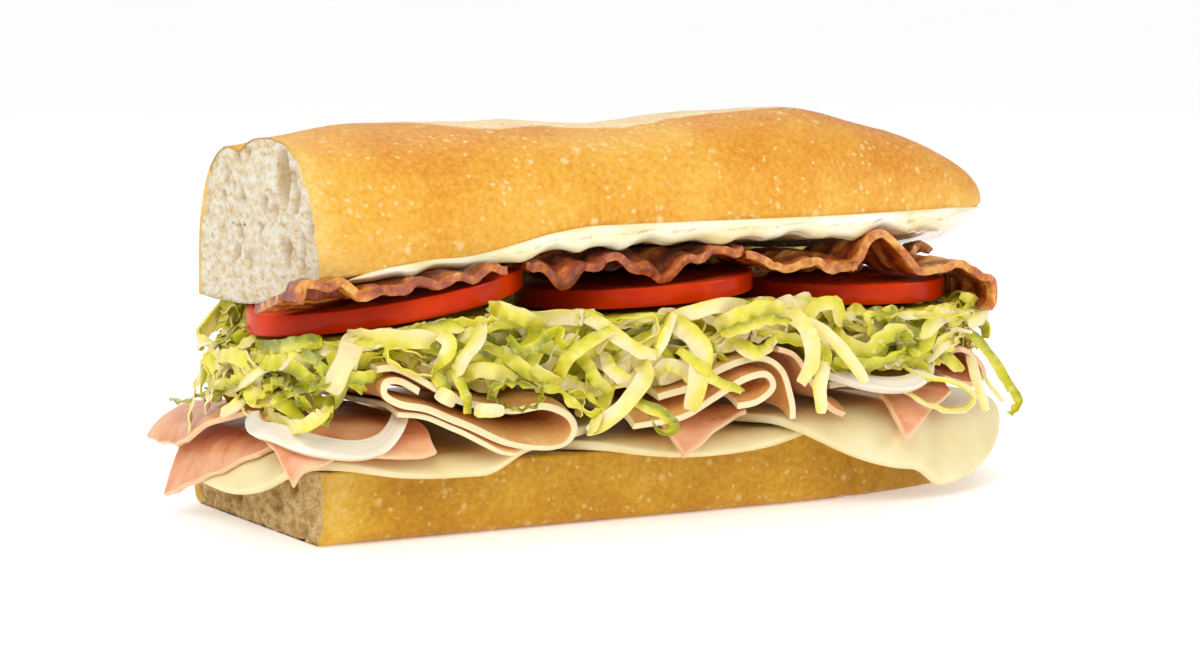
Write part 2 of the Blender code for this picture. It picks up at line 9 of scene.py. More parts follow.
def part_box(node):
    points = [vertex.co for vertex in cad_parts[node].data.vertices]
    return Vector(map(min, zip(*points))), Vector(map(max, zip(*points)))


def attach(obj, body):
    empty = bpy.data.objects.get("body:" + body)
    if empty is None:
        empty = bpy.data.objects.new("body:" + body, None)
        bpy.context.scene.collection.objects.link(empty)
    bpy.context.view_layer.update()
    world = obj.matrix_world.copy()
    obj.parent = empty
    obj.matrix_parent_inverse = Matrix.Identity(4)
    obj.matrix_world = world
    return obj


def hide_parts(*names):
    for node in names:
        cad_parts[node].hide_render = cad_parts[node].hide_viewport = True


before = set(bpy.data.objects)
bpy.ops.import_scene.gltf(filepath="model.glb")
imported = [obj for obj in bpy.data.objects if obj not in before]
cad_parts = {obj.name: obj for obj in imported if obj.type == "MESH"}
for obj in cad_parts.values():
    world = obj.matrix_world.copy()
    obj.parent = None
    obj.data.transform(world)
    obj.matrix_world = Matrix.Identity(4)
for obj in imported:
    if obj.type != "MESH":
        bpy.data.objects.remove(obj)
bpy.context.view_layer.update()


# --- The bottom bread -----------------------------------------------------------------------------
# The lower half of a soft white roll, baked with a thin golden crust, sliced along its length and cut
# across at one end. It stands on its flat underside and carries everything else.
BREAD_LENGTH = 0.200
CUT_END_X = -0.1015
HEEL_TIP_X = CUT_END_X + BREAD_LENGTH
HEEL_START_X = 0.020
HEEL_END_SCALE = 0.10
BOTTOM_HALF_WIDTH = 0.0378
BOTTOM_HEIGHT = 0.0170
BOTTOM_ROUNDING = 10
SECTION_CROWDING = 1.7
RIM_START = 0.955
HEEL_LIFT = 0.006
bread_low, bread_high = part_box("bottom_bread")
BLOCK_FACE = 0.999
DEEP_HOLE = 0.0014
BREAD_PLACE = Vector((bread_low.x - CUT_END_X, (bread_low.y + bread_high.y) / 2, 0))


def ease(share):
    """Goes smoothly from 0 to 1 as the share does, and stays there."""
    share = min(max(share, 0.0), 1.0)
    return share * share * (3 - 2 * share)


def bell(offset, width):
    """1 at no offset, falling off smoothly to both sides."""
    return math.exp(-((offset / width) ** 2))


def level(points, x):
    """The height at x of a line that eases from each (x, height) point to the next."""
    if x <= points[0][0]:
        return points[0][1]
    for (x0, z0), (x1, z1) in zip(points, points[1:]):
        if x <= x1:
            return z0 + (z1 - z0) * ease((x - x0) / (x1 - x0))
    return points[-1][1]


def grain(spot, size, seed=0.0):
    """Smooth unevenness from -1 to 1, at a size in metres."""
    return noise.noise(Vector(spot) / size + Vector((seed, 1.7 * seed, -seed)))


def heel_scale(x):
    """How far the bread has narrowed at x: 1 along its length, falling in an ellipse at the heel."""
    share = (x - HEEL_START_X) / (HEEL_TIP_X - HEEL_START_X)
    if share <= 0:
        return 1.0
    return max(math.sqrt(max(1 - share * share, 0.0)), HEEL_END_SCALE)


def select_only(*pieces):
    """Selects these pieces alone, with the first as the active one."""
    bpy.ops.object.select_all(action="DESELECT")
    for piece in pieces:
        piece.select_set(True)
    bpy.context.view_layer.objects.active = pieces[0]


def start_piece(name):
    """Names the primitive that was just added, with nothing else selected."""
    piece = bpy.context.view_layer.objects.active
    select_only(piece)
    piece.name = name
    piece.data.name = name
    return piece


def select_edges_along(piece, axis, least):
    """Selects the edges that run at least that far along an axis, in edit mode."""
    bpy.ops.mesh.select_mode(type="EDGE")
    bpy.ops.mesh.select_all(action="DESELECT")
    shape = bmesh.from_edit_mesh(piece.data)
    for edge in shape.edges:
        edge.select_set(abs(edge.verts[0].co[axis] - edge.verts[1].co[axis]) > least)
    bmesh.update_edit_mesh(piece.data)


def divided_block(name, cuts):
    """A dough block: a cube cut into strips along X, then Y, then Z."""
    bpy.ops.mesh.primitive_cube_add(size=2)
    block = start_piece(name)
    bpy.ops.object.mode_set(mode="EDIT")
    for axis, steps in enumerate(cuts):
        for step in steps:
            select_edges_along(block, axis, 1e-5)
            bpy.ops.mesh.subdivide(number_cuts=step, quadcorner="INNERVERT")
    bpy.ops.object.mode_set(mode="OBJECT")
    return block


def rounded(across, up, half_width, height, power):
    """Moves a point of a block's section onto a rounded one: flat at up = 0, domed above it."""
    reach = max(abs(across), up)
    if reach < 1e-6:
        return 0.0, 0.0
    angle = math.atan2(up, across)
    ellipse = (abs(math.cos(angle)) ** power + max(math.sin(angle), 0.0) ** power) ** (-1 / power)
    return (
        reach * half_width * ellipse * math.cos(angle),
        reach * height * ellipse * math.sin(angle),
    )


def station(share):
    """X of a bread section; the sections crowd together towards the heel."""
    return CUT_END_X + BREAD_LENGTH * (1 - (1 - share) ** SECTION_CROWDING)


def crumb_holes(rng, count, y_range, z_range):
    """Air holes of the cut end: (y, z, radius, how deep, how tall)."""
    return [
        (
            rng.uniform(*y_range), rng.uniform(*z_range), 0.0010 + 0.0012 * rng.random() ** 2.2,
            rng.uniform(0.4, 0.8), rng.uniform(0.7, 1.2),
        )
        for _ in range(count)
    ]


def hole_depth(holes, y, z):
    """How far the torn crumb lies back at a spot of the cut end."""
    deep = 0.0
    bent_y = y + 0.0007 * grain((0, y, z), 0.0022, 11)
    bent_z = z + 0.0007 * grain((0, y, z), 0.0022, 17)
    for hole_y, hole_z, radius, share, tall in holes:
        away = math.hypot(bent_y - hole_y, (bent_z - hole_z) * tall) / radius
        if away < 1.3:
            deep = max(deep, share * radius * 1.4 * ease((1.3 - away) / 0.9))
    return deep


def mark(piece, name, values):
    """Stores one number for each point, for the material to read."""
    layer = piece.data.attributes.new(name, "FLOAT", "POINT")
    layer.data.foreach_set("value", values)


def finish_piece(piece, finish, slot, *nodes):
    """Sets a piece in its place on the bread, smooths it, and hands it to the frame."""
    piece.data.transform(Matrix.Translation(BREAD_PLACE))
    piece.data.materials.clear()
    piece.data.materials.append(finish.material)
    select_only(piece)
    bpy.ops.object.shade_smooth()
    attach(piece, "root")
    if nodes:
        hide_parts(*nodes)


class Wiring:
    """Adds nodes to a material or a node group."""

    def __init__(self, tree):
        self.nodes, self.links = tree.nodes, tree.links

    def feed(self, socket, value):
        """Links a socket to another node's, or sets it to a number, a vector or a colour."""
        if isinstance(value, bpy.types.NodeSocket):
            self.links.new(value, socket)
        elif isinstance(value, (int, float)) or len(value) == len(socket.default_value):
            socket.default_value = value
        else:
            socket.default_value = (*value, 1)

    def add(self, kind, **inputs):
        """A shader node with its inputs fed by name."""
        node = self.nodes.new("ShaderNode" + kind)
        for name, value in inputs.items():
            self.feed(node.inputs[name.replace("_", " ")], value)
        return node

    def steps(self, value, *steps):
        """A colour ramp on a value: steps of (place, (r, g, b))."""
        ramp = self.add("ValToRGB", Fac=value)
        points = ramp.color_ramp.elements
        points[0].position, points[0].color = steps[0][0], (*steps[0][1], 1)
        points[1].position, points[1].color = steps[-1][0], (*steps[-1][1], 1)
        for place, colour in steps[1:-1]:
            points.new(place).color = (*colour, 1)
        return ramp.outputs[0]

    def mottle(self, place, scale, detail=3.0, roughness=0.55):
        """Soft noise, whose spots are as wide as one over the scale in metres."""
        made = self.add("TexNoise", Vector=place, Scale=scale, Detail=detail, Roughness=roughness)
        return made.outputs[0]

    def stretched(self, place, scale, turn=(0, 0, 0)):
        """Coordinates pressed together along some axes, so that a pattern runs in streaks."""
        return self.add("Mapping", Vector=place, Scale=scale, Rotation=turn).outputs[0]

    def blend(self, amount, first, second):
        """Mixes two colours, or sockets that give colours, by a share or a socket that gives one."""
        mix = self.nodes.new("ShaderNodeMix")
        mix.data_type = "RGBA"
        for index, value in ((0, amount), (6, first), (7, second)):
            self.feed(mix.inputs[index], value)
        return mix.outputs[2]

    def reckon(self, kind, *values):
        """A sum of numbers or sockets."""
        made = self.nodes.new("ShaderNodeMath")
        made.operation = kind
        for socket, value in zip(made.inputs, values):
            self.feed(socket, value)
        return made.outputs[0]

    def spread(self, value, low, high, to_low=0.0, to_high=1.0):
        """Maps the range from low to high onto another, and stops at its ends."""
        return self.add(
            "MapRange", Value=value, From_Min=low, From_Max=high, To_Min=to_low, To_Max=to_high
        ).outputs[0]

    def attribute(self, name):
        """The number that mark() stored for each point."""
        made = self.nodes.new("ShaderNodeAttribute")
        made.attribute_name = name
        return made.outputs["Fac"]


class Finish(Wiring):
    """A material with a Principled shader, that reads places on the object as it was made."""

    def __init__(self, name, **sockets):
        self.material = bpy.data.materials.new(name)
        self.material.use_nodes = True
        super().__init__(self.material.node_tree)
        self.shader = self.nodes["Principled BSDF"]
        self.place = self.add("TexCoord").outputs["Object"]
        self.drive(**sockets)

    def use(self, group):
        """Places a shader group that is fed with the object's places, and gives its outputs."""
        node = self.nodes.new("ShaderNodeGroup")
        node.node_tree = group
        self.feed(node.inputs["Vector"], self.place)
        return node.outputs

    def drive(self, **sockets):
        """Feeds the shader's sockets by name."""
        for name, value in sockets.items():
            self.feed(self.shader.inputs[name.replace("_", " ")], value)

    def bump(self, *heights):
        """Lays one bump on the next: each is (socket, strength, distance in metres)."""
        normal = None
        for height, strength, distance in heights:
            made = self.add("Bump", Height=height, Strength=strength, Distance=distance)
            if normal is not None:
                self.links.new(normal, made.inputs["Normal"])
            normal = made.outputs["Normal"]
        self.drive(Normal=normal)


def pattern_group(name, patterns):
    """A shader group that works out patterns, each with its name, for the places it is given."""
    group = bpy.data.node_groups.new(name, "ShaderNodeTree")
    group.interface.new_socket("Vector", in_out="INPUT", socket_type="NodeSocketVector")
    for output in patterns:
        group.interface.new_socket(output, in_out="OUTPUT", socket_type="NodeSocketFloat")
    look = Wiring(group)
    place, outs = look.nodes.new("NodeGroupInput").outputs[0], look.nodes.new("NodeGroupOutput")
    for output, make in patterns.items():
        look.feed(outs.inputs[output], make(look, place))
    return group


def crust_blisters(look, place):
    """Small pale blisters in two sizes, each on some cells of a bent pattern only."""
    bend = look.add("TexNoise", Vector=place, Scale=400)
    shift = look.nodes.new("ShaderNodeVectorMath")
    shift.operation = "MULTIPLY_ADD"
    for socket, value in zip(shift.inputs, (bend.outputs["Color"], (0.0018, 0.0018, 0.0018), place)):
        look.feed(socket, value)
    total = None
    for scale, reach, density in ((230, 0.30, 0.72), (520, 0.36, 0.60)):
        cells = look.add("TexVoronoi", Vector=shift.outputs[0], Scale=scale)
        spot = look.spread(cells.outputs["Distance"], reach, reach * 0.45)
        pick = look.add("SeparateColor", Color=cells.outputs["Color"])
        spots = look.reckon("MULTIPLY", spot, look.spread(pick.outputs[0], density, density + 0.2))
        total = look.reckon("MAXIMUM", total, spots) if total else spots
    return total


def crumb_pores(look, place):
    """Small pits between the torn walls of the crumb, that come in patches."""
    cells = look.add("TexVoronoi", Vector=look.stretched(place, (620, 620, 430)), Scale=1)
    patches = look.spread(look.mottle(place, 190, 3), 0.50, 0.62)
    return look.reckon("MULTIPLY", look.spread(cells.outputs["Distance"], 0.42, 0.10), patches)


BAKED_CRUST = pattern_group("baked crust", {
    "Blisters": crust_blisters,
    "Cloud": lambda look, place: look.mottle(place, 30, 4, 0.6),
    "Fine": lambda look, place: look.mottle(place, 700, 4, 0.75),
    "Wrinkles": lambda look, place: look.mottle(
        look.stretched(place, (160, 420, 420), (0.2, 0.5, 0.3)), 1, 3, 0.6
    ),
})
TORN_CRUMB = pattern_group("torn crumb", {
    "Torn": lambda look, place: look.mottle(look.stretched(place, (480, 330, 640)), 1, 6, 0.75),
    "Pores": crumb_pores,
})
BLISTER_COLOUR = (0.90, 0.70, 0.32)


def bread_finish(name, crust_steps, crumb_colours, blister_share, pale):
    """Golden crust with blisters, and open pale crumb where a face was cut, with painted shade in its pores
    and holes.
    """
    look = Finish(
        name, Subsurface_Weight=0.10, Subsurface_Scale=0.003, Specular_IOR_Level=0.3,
        Subsurface_Radius=(1.0, 0.55, 0.25),
    )
    blisters, clouds, fine, wrinkles = look.use(BAKED_CRUST)
    torn, pore = look.use(TORN_CRUMB)
    tone = look.reckon("MULTIPLY_ADD", clouds, 0.9, -0.45)
    # The marked tone darkens the crust: its baking, and on the bottom bread also painted shade towards its
    # bottom.
    tone = look.reckon("ADD", tone, look.attribute("bake_and_shade"))
    tone = look.reckon("ADD", tone, look.reckon("MULTIPLY_ADD", fine, 0.85, -0.425))
    baked = look.steps(tone, *crust_steps)
    crust = look.blend(look.reckon("MULTIPLY", blisters, blister_share), baked, BLISTER_COLOUR)
    opened = look.reckon("MULTIPLY", look.attribute("score"), look.spread(fine, 0.38, 0.54, 0.45, 1.0))
    crust = look.blend(opened, crust, pale)
    shade, middle, bright, pit = crumb_colours
    crumb = look.steps(torn, (0.32, shade), (0.45, middle), (0.58, bright))
    # Painted shade: the crumb is darkened to the pit colour in its small pores and in the deep holes of the
    # cut end.
    crumb = look.blend(look.reckon("MULTIPLY", pore, 0.55), crumb, pit)
    crumb = look.blend(look.reckon("MULTIPLY", look.attribute("hole"), 0.6), crumb, pit)
    cut = look.attribute("crumb")
    look.drive(Base_Color=look.blend(cut, crust, crumb), Roughness=look.spread(cut, 0, 1, 0.44, 0.9))
    look.bump(
        (wrinkles, 0.35, 0.0006), (fine, 0.50, 0.0005), (blisters, 0.6, 0.0002),
        (look.reckon("MULTIPLY", torn, cut), 1.0, 0.0015),
        (look.reckon("MULTIPLY", pore, cut), -0.7, 0.0007),
    )
    return look


def bake_bread(piece, place_of, holes, score_of):
    """Places a block's points as bread, and marks crumb, holes, baking with painted shade, and score on
    them.
    """
    crumb, hole, bake_and_shade, score = [], [], [], []
    for vertex in piece.data.vertices:
        along_share, across, up = vertex.co
        spot, outward, cut, tone = place_of(along_share, across, up)
        swell = 0.0007 * grain(spot, 0.028, 3) + 0.0003 * grain(spot, 0.009, 5)
        swell += 0.00010 * grain(spot, 0.003, 8)
        deep = 0.0
        if along_share < -BLOCK_FACE:
            rim = min(1.0, (1 - max(abs(across), abs(up))) / 0.05)
            deep = hole_depth(holes, spot.y, spot.z) * rim
            ragged = 0.0007 * grain(spot, 0.0035, 2) + 0.0004 * grain(spot, 0.0015, 4)
            spot = spot + Vector((deep + rim * (0.0004 + ragged), 0, 0))
        elif cut > 0.5:
            swell = 0.0005 * grain(spot, 0.003, 6)
        vertex.co = spot + outward * swell
        crumb.append(cut)
        hole.append(min(deep / DEEP_HOLE, 1.0))
        bake_and_shade.append(tone)
        score.append(score_of(spot))
    mark(piece, "crumb", crumb)
    mark(piece, "hole", hole)
    mark(piece, "bake_and_shade", bake_and_shade)
    mark(piece, "score", score)


def bottom_spot(along_share, across, up):
    """Where a block's point goes: (spot, way out of the crust, whether it is crumb, how dark the crust is
    painted, from its baking and painted shade).
    """
    x = station((along_share + 1) / 2)
    scale = heel_scale(x)
    half_width, height = BOTTOM_HALF_WIDTH * scale, BOTTOM_HEIGHT + 0.0008
    side, drop = rounded(across, (1 - up) / 2, half_width, height, BOTTOM_ROUNDING)
    lift = HEEL_LIFT * (1 - scale) ** 2
    z = max(BOTTOM_HEIGHT - drop, lift)
    outward = Vector((0, 0, 0))
    if abs(across) > BLOCK_FACE and z > lift + 0.0004:
        outward = Vector((0, across, 0))
    cut = 0.0
    if along_share < -BLOCK_FACE and max(abs(across), -up) < RIM_START:
        cut = 1.0
    if up > BLOCK_FACE and abs(across) < 0.97:
        cut = 1.0
    crease = bell(x - 0.0405 + 0.12 * (z - 0.008), 0.0010) * ease((-side - 0.02) / 0.01)
    side -= math.copysign(0.0012 * crease * ease((0.999 - up) * 4), side)
    # Painted shade: the crust is painted darker towards the bottom, under the overhanging fillings; it is
    # also paler near the cut end and towards the heel.
    tone = 0.56 - 0.16 * (z / BOTTOM_HEIGHT - 0.5) - 0.30 * bell(x + 0.098, 0.006)
    tone += 0.07 - 0.13 * ease((x + 0.04) / 0.08)
    return Vector((x, side, z)), outward, cut, tone


loaf_rng = random.Random(5)
bottom = divided_block("bottom_crust", ((74, 1), (74,), (24,)))
bottom_holes = crumb_holes(loaf_rng, 16, (-0.034, 0.034), (0.002, 0.0155))
bake_bread(bottom, bottom_spot, bottom_holes, lambda spot: 0.0)
GOLD = (
    (0.05, (0.90, 0.60, 0.17)), (0.34, (0.82, 0.43, 0.050)), (0.62, (0.70, 0.27, 0.014)),
    (0.95, (0.42, 0.12, 0.005)),
)
# The bottom crust: the same golden crust, painted darker as painted shade under the overhanging top bread.
GOLD_IN_PAINTED_SHADE = (
    (0.05, (0.80, 0.56, 0.15)), (0.36, (0.67, 0.39, 0.030)), (0.62, (0.54, 0.26, 0.006)),
    (0.95, (0.33, 0.12, 0.002)),
)
# The crumb's darkest, middle and brightest tones, and the pit colour that paints shade into its pores and
# holes.
CRUMB = ((0.60, 0.41, 0.18), (0.89, 0.74, 0.48), (0.99, 0.95, 0.84), (0.58, 0.37, 0.17))
# The bottom bread's crumb: the same crumb, painted darker and warmer as painted shade with warm bounce light
# under the fillings.
CRUMB_IN_PAINTED_SHADE = ((0.43, 0.23, 0.06), (0.66, 0.40, 0.13), (0.85, 0.64, 0.33), (0.36, 0.18, 0.05))
PALE_DOUGH = (0.93, 0.82, 0.50)
bottom_finish = bread_finish("bottom crust", GOLD_IN_PAINTED_SHADE, CRUMB_IN_PAINTED_SHADE, 0.40, PALE_DOUGH)
finish_piece(bottom, bottom_finish, "crust", "bottom_bread")


# --- The cheese -----------------------------------------------------------------------------------
# Three round slices of mild white cheese in a row on the bread, the outer two lapping the middle one,
# with their soft edges bent down over the crust.
EDGE_BEND_RADIUS = 0.0050
EDGE_BEND_MOST = math.radians(62)
TOUCH_GAP = 0.0004
CHEESE_THICKNESS = 0.0022


def outside_bread(x, y):
    """(distance, outward direction, nearest edge point) of a point past the bottom bread's outline."""
    if x > HEEL_START_X:
        long_half, wide_half = HEEL_TIP_X - HEEL_START_X, BOTTOM_HALF_WIDTH
        px, py = (x - HEEL_START_X), y
        size = math.hypot(px / long_half, py / wide_half)
        if size <= 1:
            return 0.0, Vector((0, 0)), Vector((x, y))
        edge = Vector((px / size, py / size))
        for _ in range(3):
            normal = Vector((edge.x / long_half**2, edge.y / wide_half**2)).normalized()
            gap = Vector((px, py)) - edge
            edge = edge + (gap - gap.dot(normal) * normal) * 0.6
            edge = edge / math.hypot(edge.x / long_half, edge.y / wide_half)
        gap = Vector((px, py)) - edge
        return gap.length, gap.normalized(), edge + Vector((HEEL_START_X, 0))
    edge = Vector((max(x, CUT_END_X), min(max(y, -BOTTOM_HALF_WIDTH), BOTTOM_HALF_WIDTH)))
    gap = Vector((x, y)) - edge
    if gap.length < 1e-9:
        return 0.0, Vector((0, 0)), edge
    return gap.length, gap.normalized(), edge


def drape(x, y, lift):
    """Where a filling's point goes: it lies above the bottom bread, and bends down past its edge."""
    distance, outward, edge = outside_bread(x, y)
    if distance == 0:
        return Vector((x, y, BOTTOM_HEIGHT + lift))
    radius = EDGE_BEND_RADIUS + lift
    bend = min(distance / radius, EDGE_BEND_MOST)
    rest = distance - bend * radius
    out = radius * math.sin(bend) + rest * math.cos(bend)
    fall = radius * math.cos(bend) - rest * math.sin(bend)
    spot = edge + outward * out
    return Vector((spot.x, spot.y, BOTTOM_HEIGHT - EDGE_BEND_RADIUS + fall))


def thicken(piece, thickness):
    """Gives a surface its thickness, half to each side."""
    solid = piece.modifiers.new("thickness", "SOLIDIFY")
    solid.thickness, solid.offset = thickness, 0
    select_only(piece)
    bpy.ops.object.modifier_apply(modifier=solid.name)


def soften(piece, width, sharpest, segments):
    """Bevels the edges that bend by more than so many degrees."""
    softened = piece.modifiers.new("soft edge", "BEVEL")
    softened.limit_method, softened.angle_limit = "ANGLE", math.radians(sharpest)
    softened.width, softened.segments = width, segments
    select_only(piece)
    bpy.ops.object.modifier_apply(modifier=softened.name)


def cut_slice(name, columns, rows, place, thickness, soft_edge):
    """A slice: a grid primitive placed by two shares, given its thickness and softened cut edges."""
    bpy.ops.mesh.primitive_grid_add(x_subdivisions=columns, y_subdivisions=rows, size=2)
    piece = start_piece(name)
    rim = []
    for vertex in piece.data.vertices:
        u, v = (vertex.co.x + 1) / 2, (vertex.co.y + 1) / 2
        rim.append(1.0 if min(u, v, 1 - u, 1 - v) < 1e-4 else 0.0)
        vertex.co = place(u, v)
    mark(piece, "rim", rim)
    thicken(piece, thickness)
    soften(piece, soft_edge, 55, 2)
    return piece


def disc_point(u, v, radius, power):
    """Maps a square's point onto a round, or with a power above 2 a squarer, slice."""
    a, b = 2 * u - 1, 2 * v - 1
    reach = max(abs(a), abs(b))
    if reach < 1e-9:
        return 0.0, 0.0
    length = (abs(a) ** power + abs(b) ** power) ** (1 / power)
    return radius * reach * a / length, radius * reach * b / length


def cheese_slice(name, centre, radius, squareness, lift_at):
    """A slice of cheese, that lift_at(x) raises off the bread where it laps another."""

    def place(u, v):
        dx, dy = disc_point(u, v, radius, squareness)
        share = math.hypot(dx, dy) / radius
        wobble = 1 + 0.010 * share * grain((dx / radius, dy / radius, centre[0]), 0.9, 7)
        x, y = centre[0] + dx * wobble, centre[1] + dy * wobble
        spot = drape(x, y, lift_at(x) + CHEESE_THICKNESS / 2 + TOUCH_GAP)
        past = outside_bread(x, y)[0]
        spot.z += 0.0003 * ease(past / 0.01) * grain((x, y, 0), 0.02, 12)
        return spot

    return cut_slice(name, 64, 64, place, CHEESE_THICKNESS, 0.0005)


cheese = Finish(
    "white cheese", Subsurface_Weight=0.35, Subsurface_Scale=0.005, Subsurface_Radius=(1.0, 0.8, 0.45),
    Specular_IOR_Level=0.45,
)
clouds = cheese.mottle(cheese.place, 90, 3)
cheese_tones = (0.3, (0.82, 0.68, 0.34)), (0.52, (0.86, 0.74, 0.42)), (0.7, (0.90, 0.80, 0.52))
cheese.drive(
    Base_Color=cheese.steps(clouds, *cheese_tones), Roughness=cheese.spread(clouds, 0.3, 0.7, 0.30, 0.46)
)
cheese.bump((cheese.mottle(cheese.place, 600, 3), 0.12, 0.0003))

lap, ramp = CHEESE_THICKNESS + 3 * TOUCH_GAP, 0.012
for name, centre, radius, squareness, lift_at in (
    ("cheese_middle", (-0.003, 0.0026), 0.0475, 2.5, lambda x: 0.0),
    ("cheese_left", (-0.068, 0.0023), 0.0475, 2.5, lambda x: lap * ease((x + 0.064) / ramp)),
    ("cheese_right", (0.0495, -0.0065), 0.0485, 2.0, lambda x: lap * ease((0.064 - x) / ramp)),
):
    slice_made = cheese_slice(name + "_slice", centre, radius, squareness, lift_at)
    finish_piece(slice_made, cheese, "cheese", name)


# --- The ham --------------------------------------------------------------------------------------
# Thin moist slices of cooked ham. Some lie flat with a corner hanging over the edge, and two stand in
# folds. They are pink with paler fat and fibres, and a little ragged at the edge.
HAM_THICKNESS = 0.0014
ROW_CROWDING = 1.8
FOLD_BASE = 0.0062


def along(points, share):
    """The point at that share of a smooth curve through the points."""
    count = len(points) - 1
    index = min(int(share * count), count - 1)
    t = share * count - index
    p0, p1, p2, p3 = (Vector(points[min(max(index + step, 0), count)]) for step in (-1, 0, 1, 2))
    return 0.5 * (
        2 * p1 + (p2 - p0) * t + (2 * p0 - 5 * p1 + 4 * p2 - p3) * t * t
        + (3 * p1 - p0 - 3 * p2 + p3) * t * t * t
    )


def ham_rise(x, y):
    """How much higher the ham is piled at the cut end, behind its front edge."""
    across = ease((y + 0.0500) / 0.0160) * (1 - ease((y + 0.0020) / 0.0300))
    return 0.0045 * (1 - 0.4 * ease((x + 0.102) / 0.022)) * across


def flat_slice(name, corners, lift_at, bay):
    """An unfolded slice: a patch between four corners, draped over the edge, with small creases.

    bay draws the middle of its left edge back in.
    """
    front_left, front_right, back_left, back_right = (Vector(c) for c in corners)

    def place(u, v):
        spot = front_left.lerp(front_right, u).lerp(back_left.lerp(back_right, u), v)
        spot.x += bay * (1 - u) ** 2 * bell(v - 0.40, 0.16)
        near_edge = 1 - 2 * min(u, 1 - u, v, 1 - v)
        ragged = 0.0010 * near_edge**6
        x = spot.x + ragged * grain((spot.x, spot.y, 0), 0.006, 21)
        y = spot.y + ragged * grain((spot.x, spot.y, 0), 0.006, 22)
        past = outside_bread(x, y)[0]
        settle = ease(past / 0.008)
        made = drape(x, y, lift_at(x, y) + 0.00015 * grain((x, y, 0), 0.012, 23))
        made.z += 0.0010 * settle * grain((x, y, 0), 0.011, 24)
        return made

    return cut_slice(name, 60, 60, place, HAM_THICKNESS, 0.0003)


def folded_slice(name, path, front_y, back_y, thickness, columns):
    """A folded slice: its (x, lift) path shows at the front, and it runs through to the back."""

    def place(u, v):
        bend = along(path, u)
        front = front_y + 0.0010 * grain((bend.x, bend.y, 0.3), 0.012, 31)
        y = front + (back_y - front) * v**ROW_CROWDING
        lift = FOLD_BASE + (bend.y - FOLD_BASE) * (1 - 0.25 * v)
        lift += 0.0003 * grain((bend.x, y, bend.y), 0.010, 32)
        return drape(bend.x, y, lift)

    return cut_slice(name, columns, 34, place, thickness, 0.0003)


MEAT_GRAIN = pattern_group("meat grain", {
    "Clouds": lambda look, place: look.mottle(place, 70, 4, 0.6),
    "Streaks": lambda look, place: look.mottle(look.stretched(place, (60, 190, 90), (0, 0, 0.5)), 1, 4, 0.6),
    "Flecks": lambda look, place: look.mottle(place, 420, 2),
})


def meat_finish(name, tones, rim_colour, **sockets):
    """Moist sliced meat: soft clouds of colour, streaks of fibre and fat, and a paler cut edge."""
    look = Finish(name, Subsurface_Scale=0.003, **sockets)
    clouds, streaks, flecks = look.use(MEAT_GRAIN)
    value = look.reckon("MULTIPLY_ADD", streaks, 0.5, look.reckon("MULTIPLY", clouds, 0.5))
    fat = look.spread(flecks, 0.58, 0.72, 0.0, 0.30)
    face = look.blend(fat, look.steps(value, *tones), rim_colour)
    look.drive(
        Base_Color=look.blend(look.attribute("rim"), face, rim_colour),
        Roughness=look.spread(streaks, 0.35, 0.65, 0.26, 0.44),
    )
    look.bump((streaks, 0.22, 0.0005), (flecks, 0.15, 0.0002))
    return look


ham = meat_finish(
    "cooked ham", ((0.34, (0.58, 0.18, 0.08)), (0.48, (0.77, 0.33, 0.15)), (0.62, (0.87, 0.49, 0.26))),
    (0.87, 0.54, 0.31), Subsurface_Weight=0.25, Subsurface_Radius=(1.0, 0.4, 0.3),
    Coat_Weight=0.30, Coat_Roughness=0.22, Specular_IOR_Level=0.45,
)
HAM_BASE = 0.0071
for name, corners, lift_at, bay in (
    ("ham_end", ((-0.1080, -0.0150), (-0.0840, -0.0260), (-0.1235, 0.0230), (-0.0840, 0.0320)),
     lambda x, y: 0.0037, 0.0),
    ("ham_left", ((-0.1150, -0.0465), (-0.0775, -0.0475), (-0.1170, 0.0390), (-0.0765, 0.0340)),
     lambda x, y: HAM_BASE + ham_rise(x, y), 0.0090),
    ("ham_middle", ((-0.0150, -0.0530), (0.0080, -0.0400), (-0.0340, 0.0330), (0.0080, 0.0350)),
     lambda x, y: HAM_BASE, 0.0),
    ("ham_right", ((0.0460, -0.0570), (0.0680, -0.0390), (0.0360, 0.0300), (0.0740, 0.0140)),
     lambda x, y: HAM_BASE + 0.0035 * ease((0.015 - y) / 0.07), 0.0),
):
    finish_piece(flat_slice(name + "_slice", corners, lift_at, bay), ham, "ham", name)
for name, path, front_y, back_y in (
    ("ham_fold", ((0.0125, 0.0240), (0.0180, 0.0215), (0.0225, 0.0155), (0.0265, 0.0110), (0.0315, 0.0088)),
     -0.0470, 0.0340),
    ("ham_roll", ((0.0640, 0.0185), (0.0700, 0.0205), (0.0760, 0.0180), (0.0775, 0.0150), (0.0730, 0.0128),
                  (0.0650, 0.0135)), -0.0400, 0.0220),
):
    fold = folded_slice(name + "_slice", path, front_y, back_y, HAM_THICKNESS, 60)
    finish_piece(fold, ham, "ham", name)


# --- The turkey -----------------------------------------------------------------------------------
# Slices of roast turkey breast, folded over on themselves, so that their pale cut edges show at the
# front as long loops with warm shade inside.
TURKEY_THICKNESS = 0.0016
UNDER_FOLD_THICKNESS = 0.0012
# The warm orange of the turkey's faces is partly its own colour and partly painted warm shade from the light
# inside the folds; its paler cut edge is painted cream.
turkey = meat_finish(
    "roast turkey", ((0.34, (0.56, 0.23, 0.05)), (0.48, (0.75, 0.38, 0.11)), (0.62, (0.87, 0.55, 0.22))),
    (0.94, 0.78, 0.48), Subsurface_Weight=0.30, Subsurface_Radius=(1.0, 0.6, 0.35),
    Coat_Weight=0.12, Coat_Roughness=0.3, Specular_IOR_Level=0.4,
)
under_fold = (
    (-0.0875, 0.0158), (-0.0804, 0.0147), (-0.0729, 0.0117), (-0.0665, 0.0088), (-0.0615, 0.0070),
    (-0.0570, 0.0062),
)
under_slice = folded_slice("turkey_left_under", under_fold, -0.0474, 0.0300, UNDER_FOLD_THICKNESS, 50)
finish_piece(under_slice, turkey, "turkey", "turkey_left")
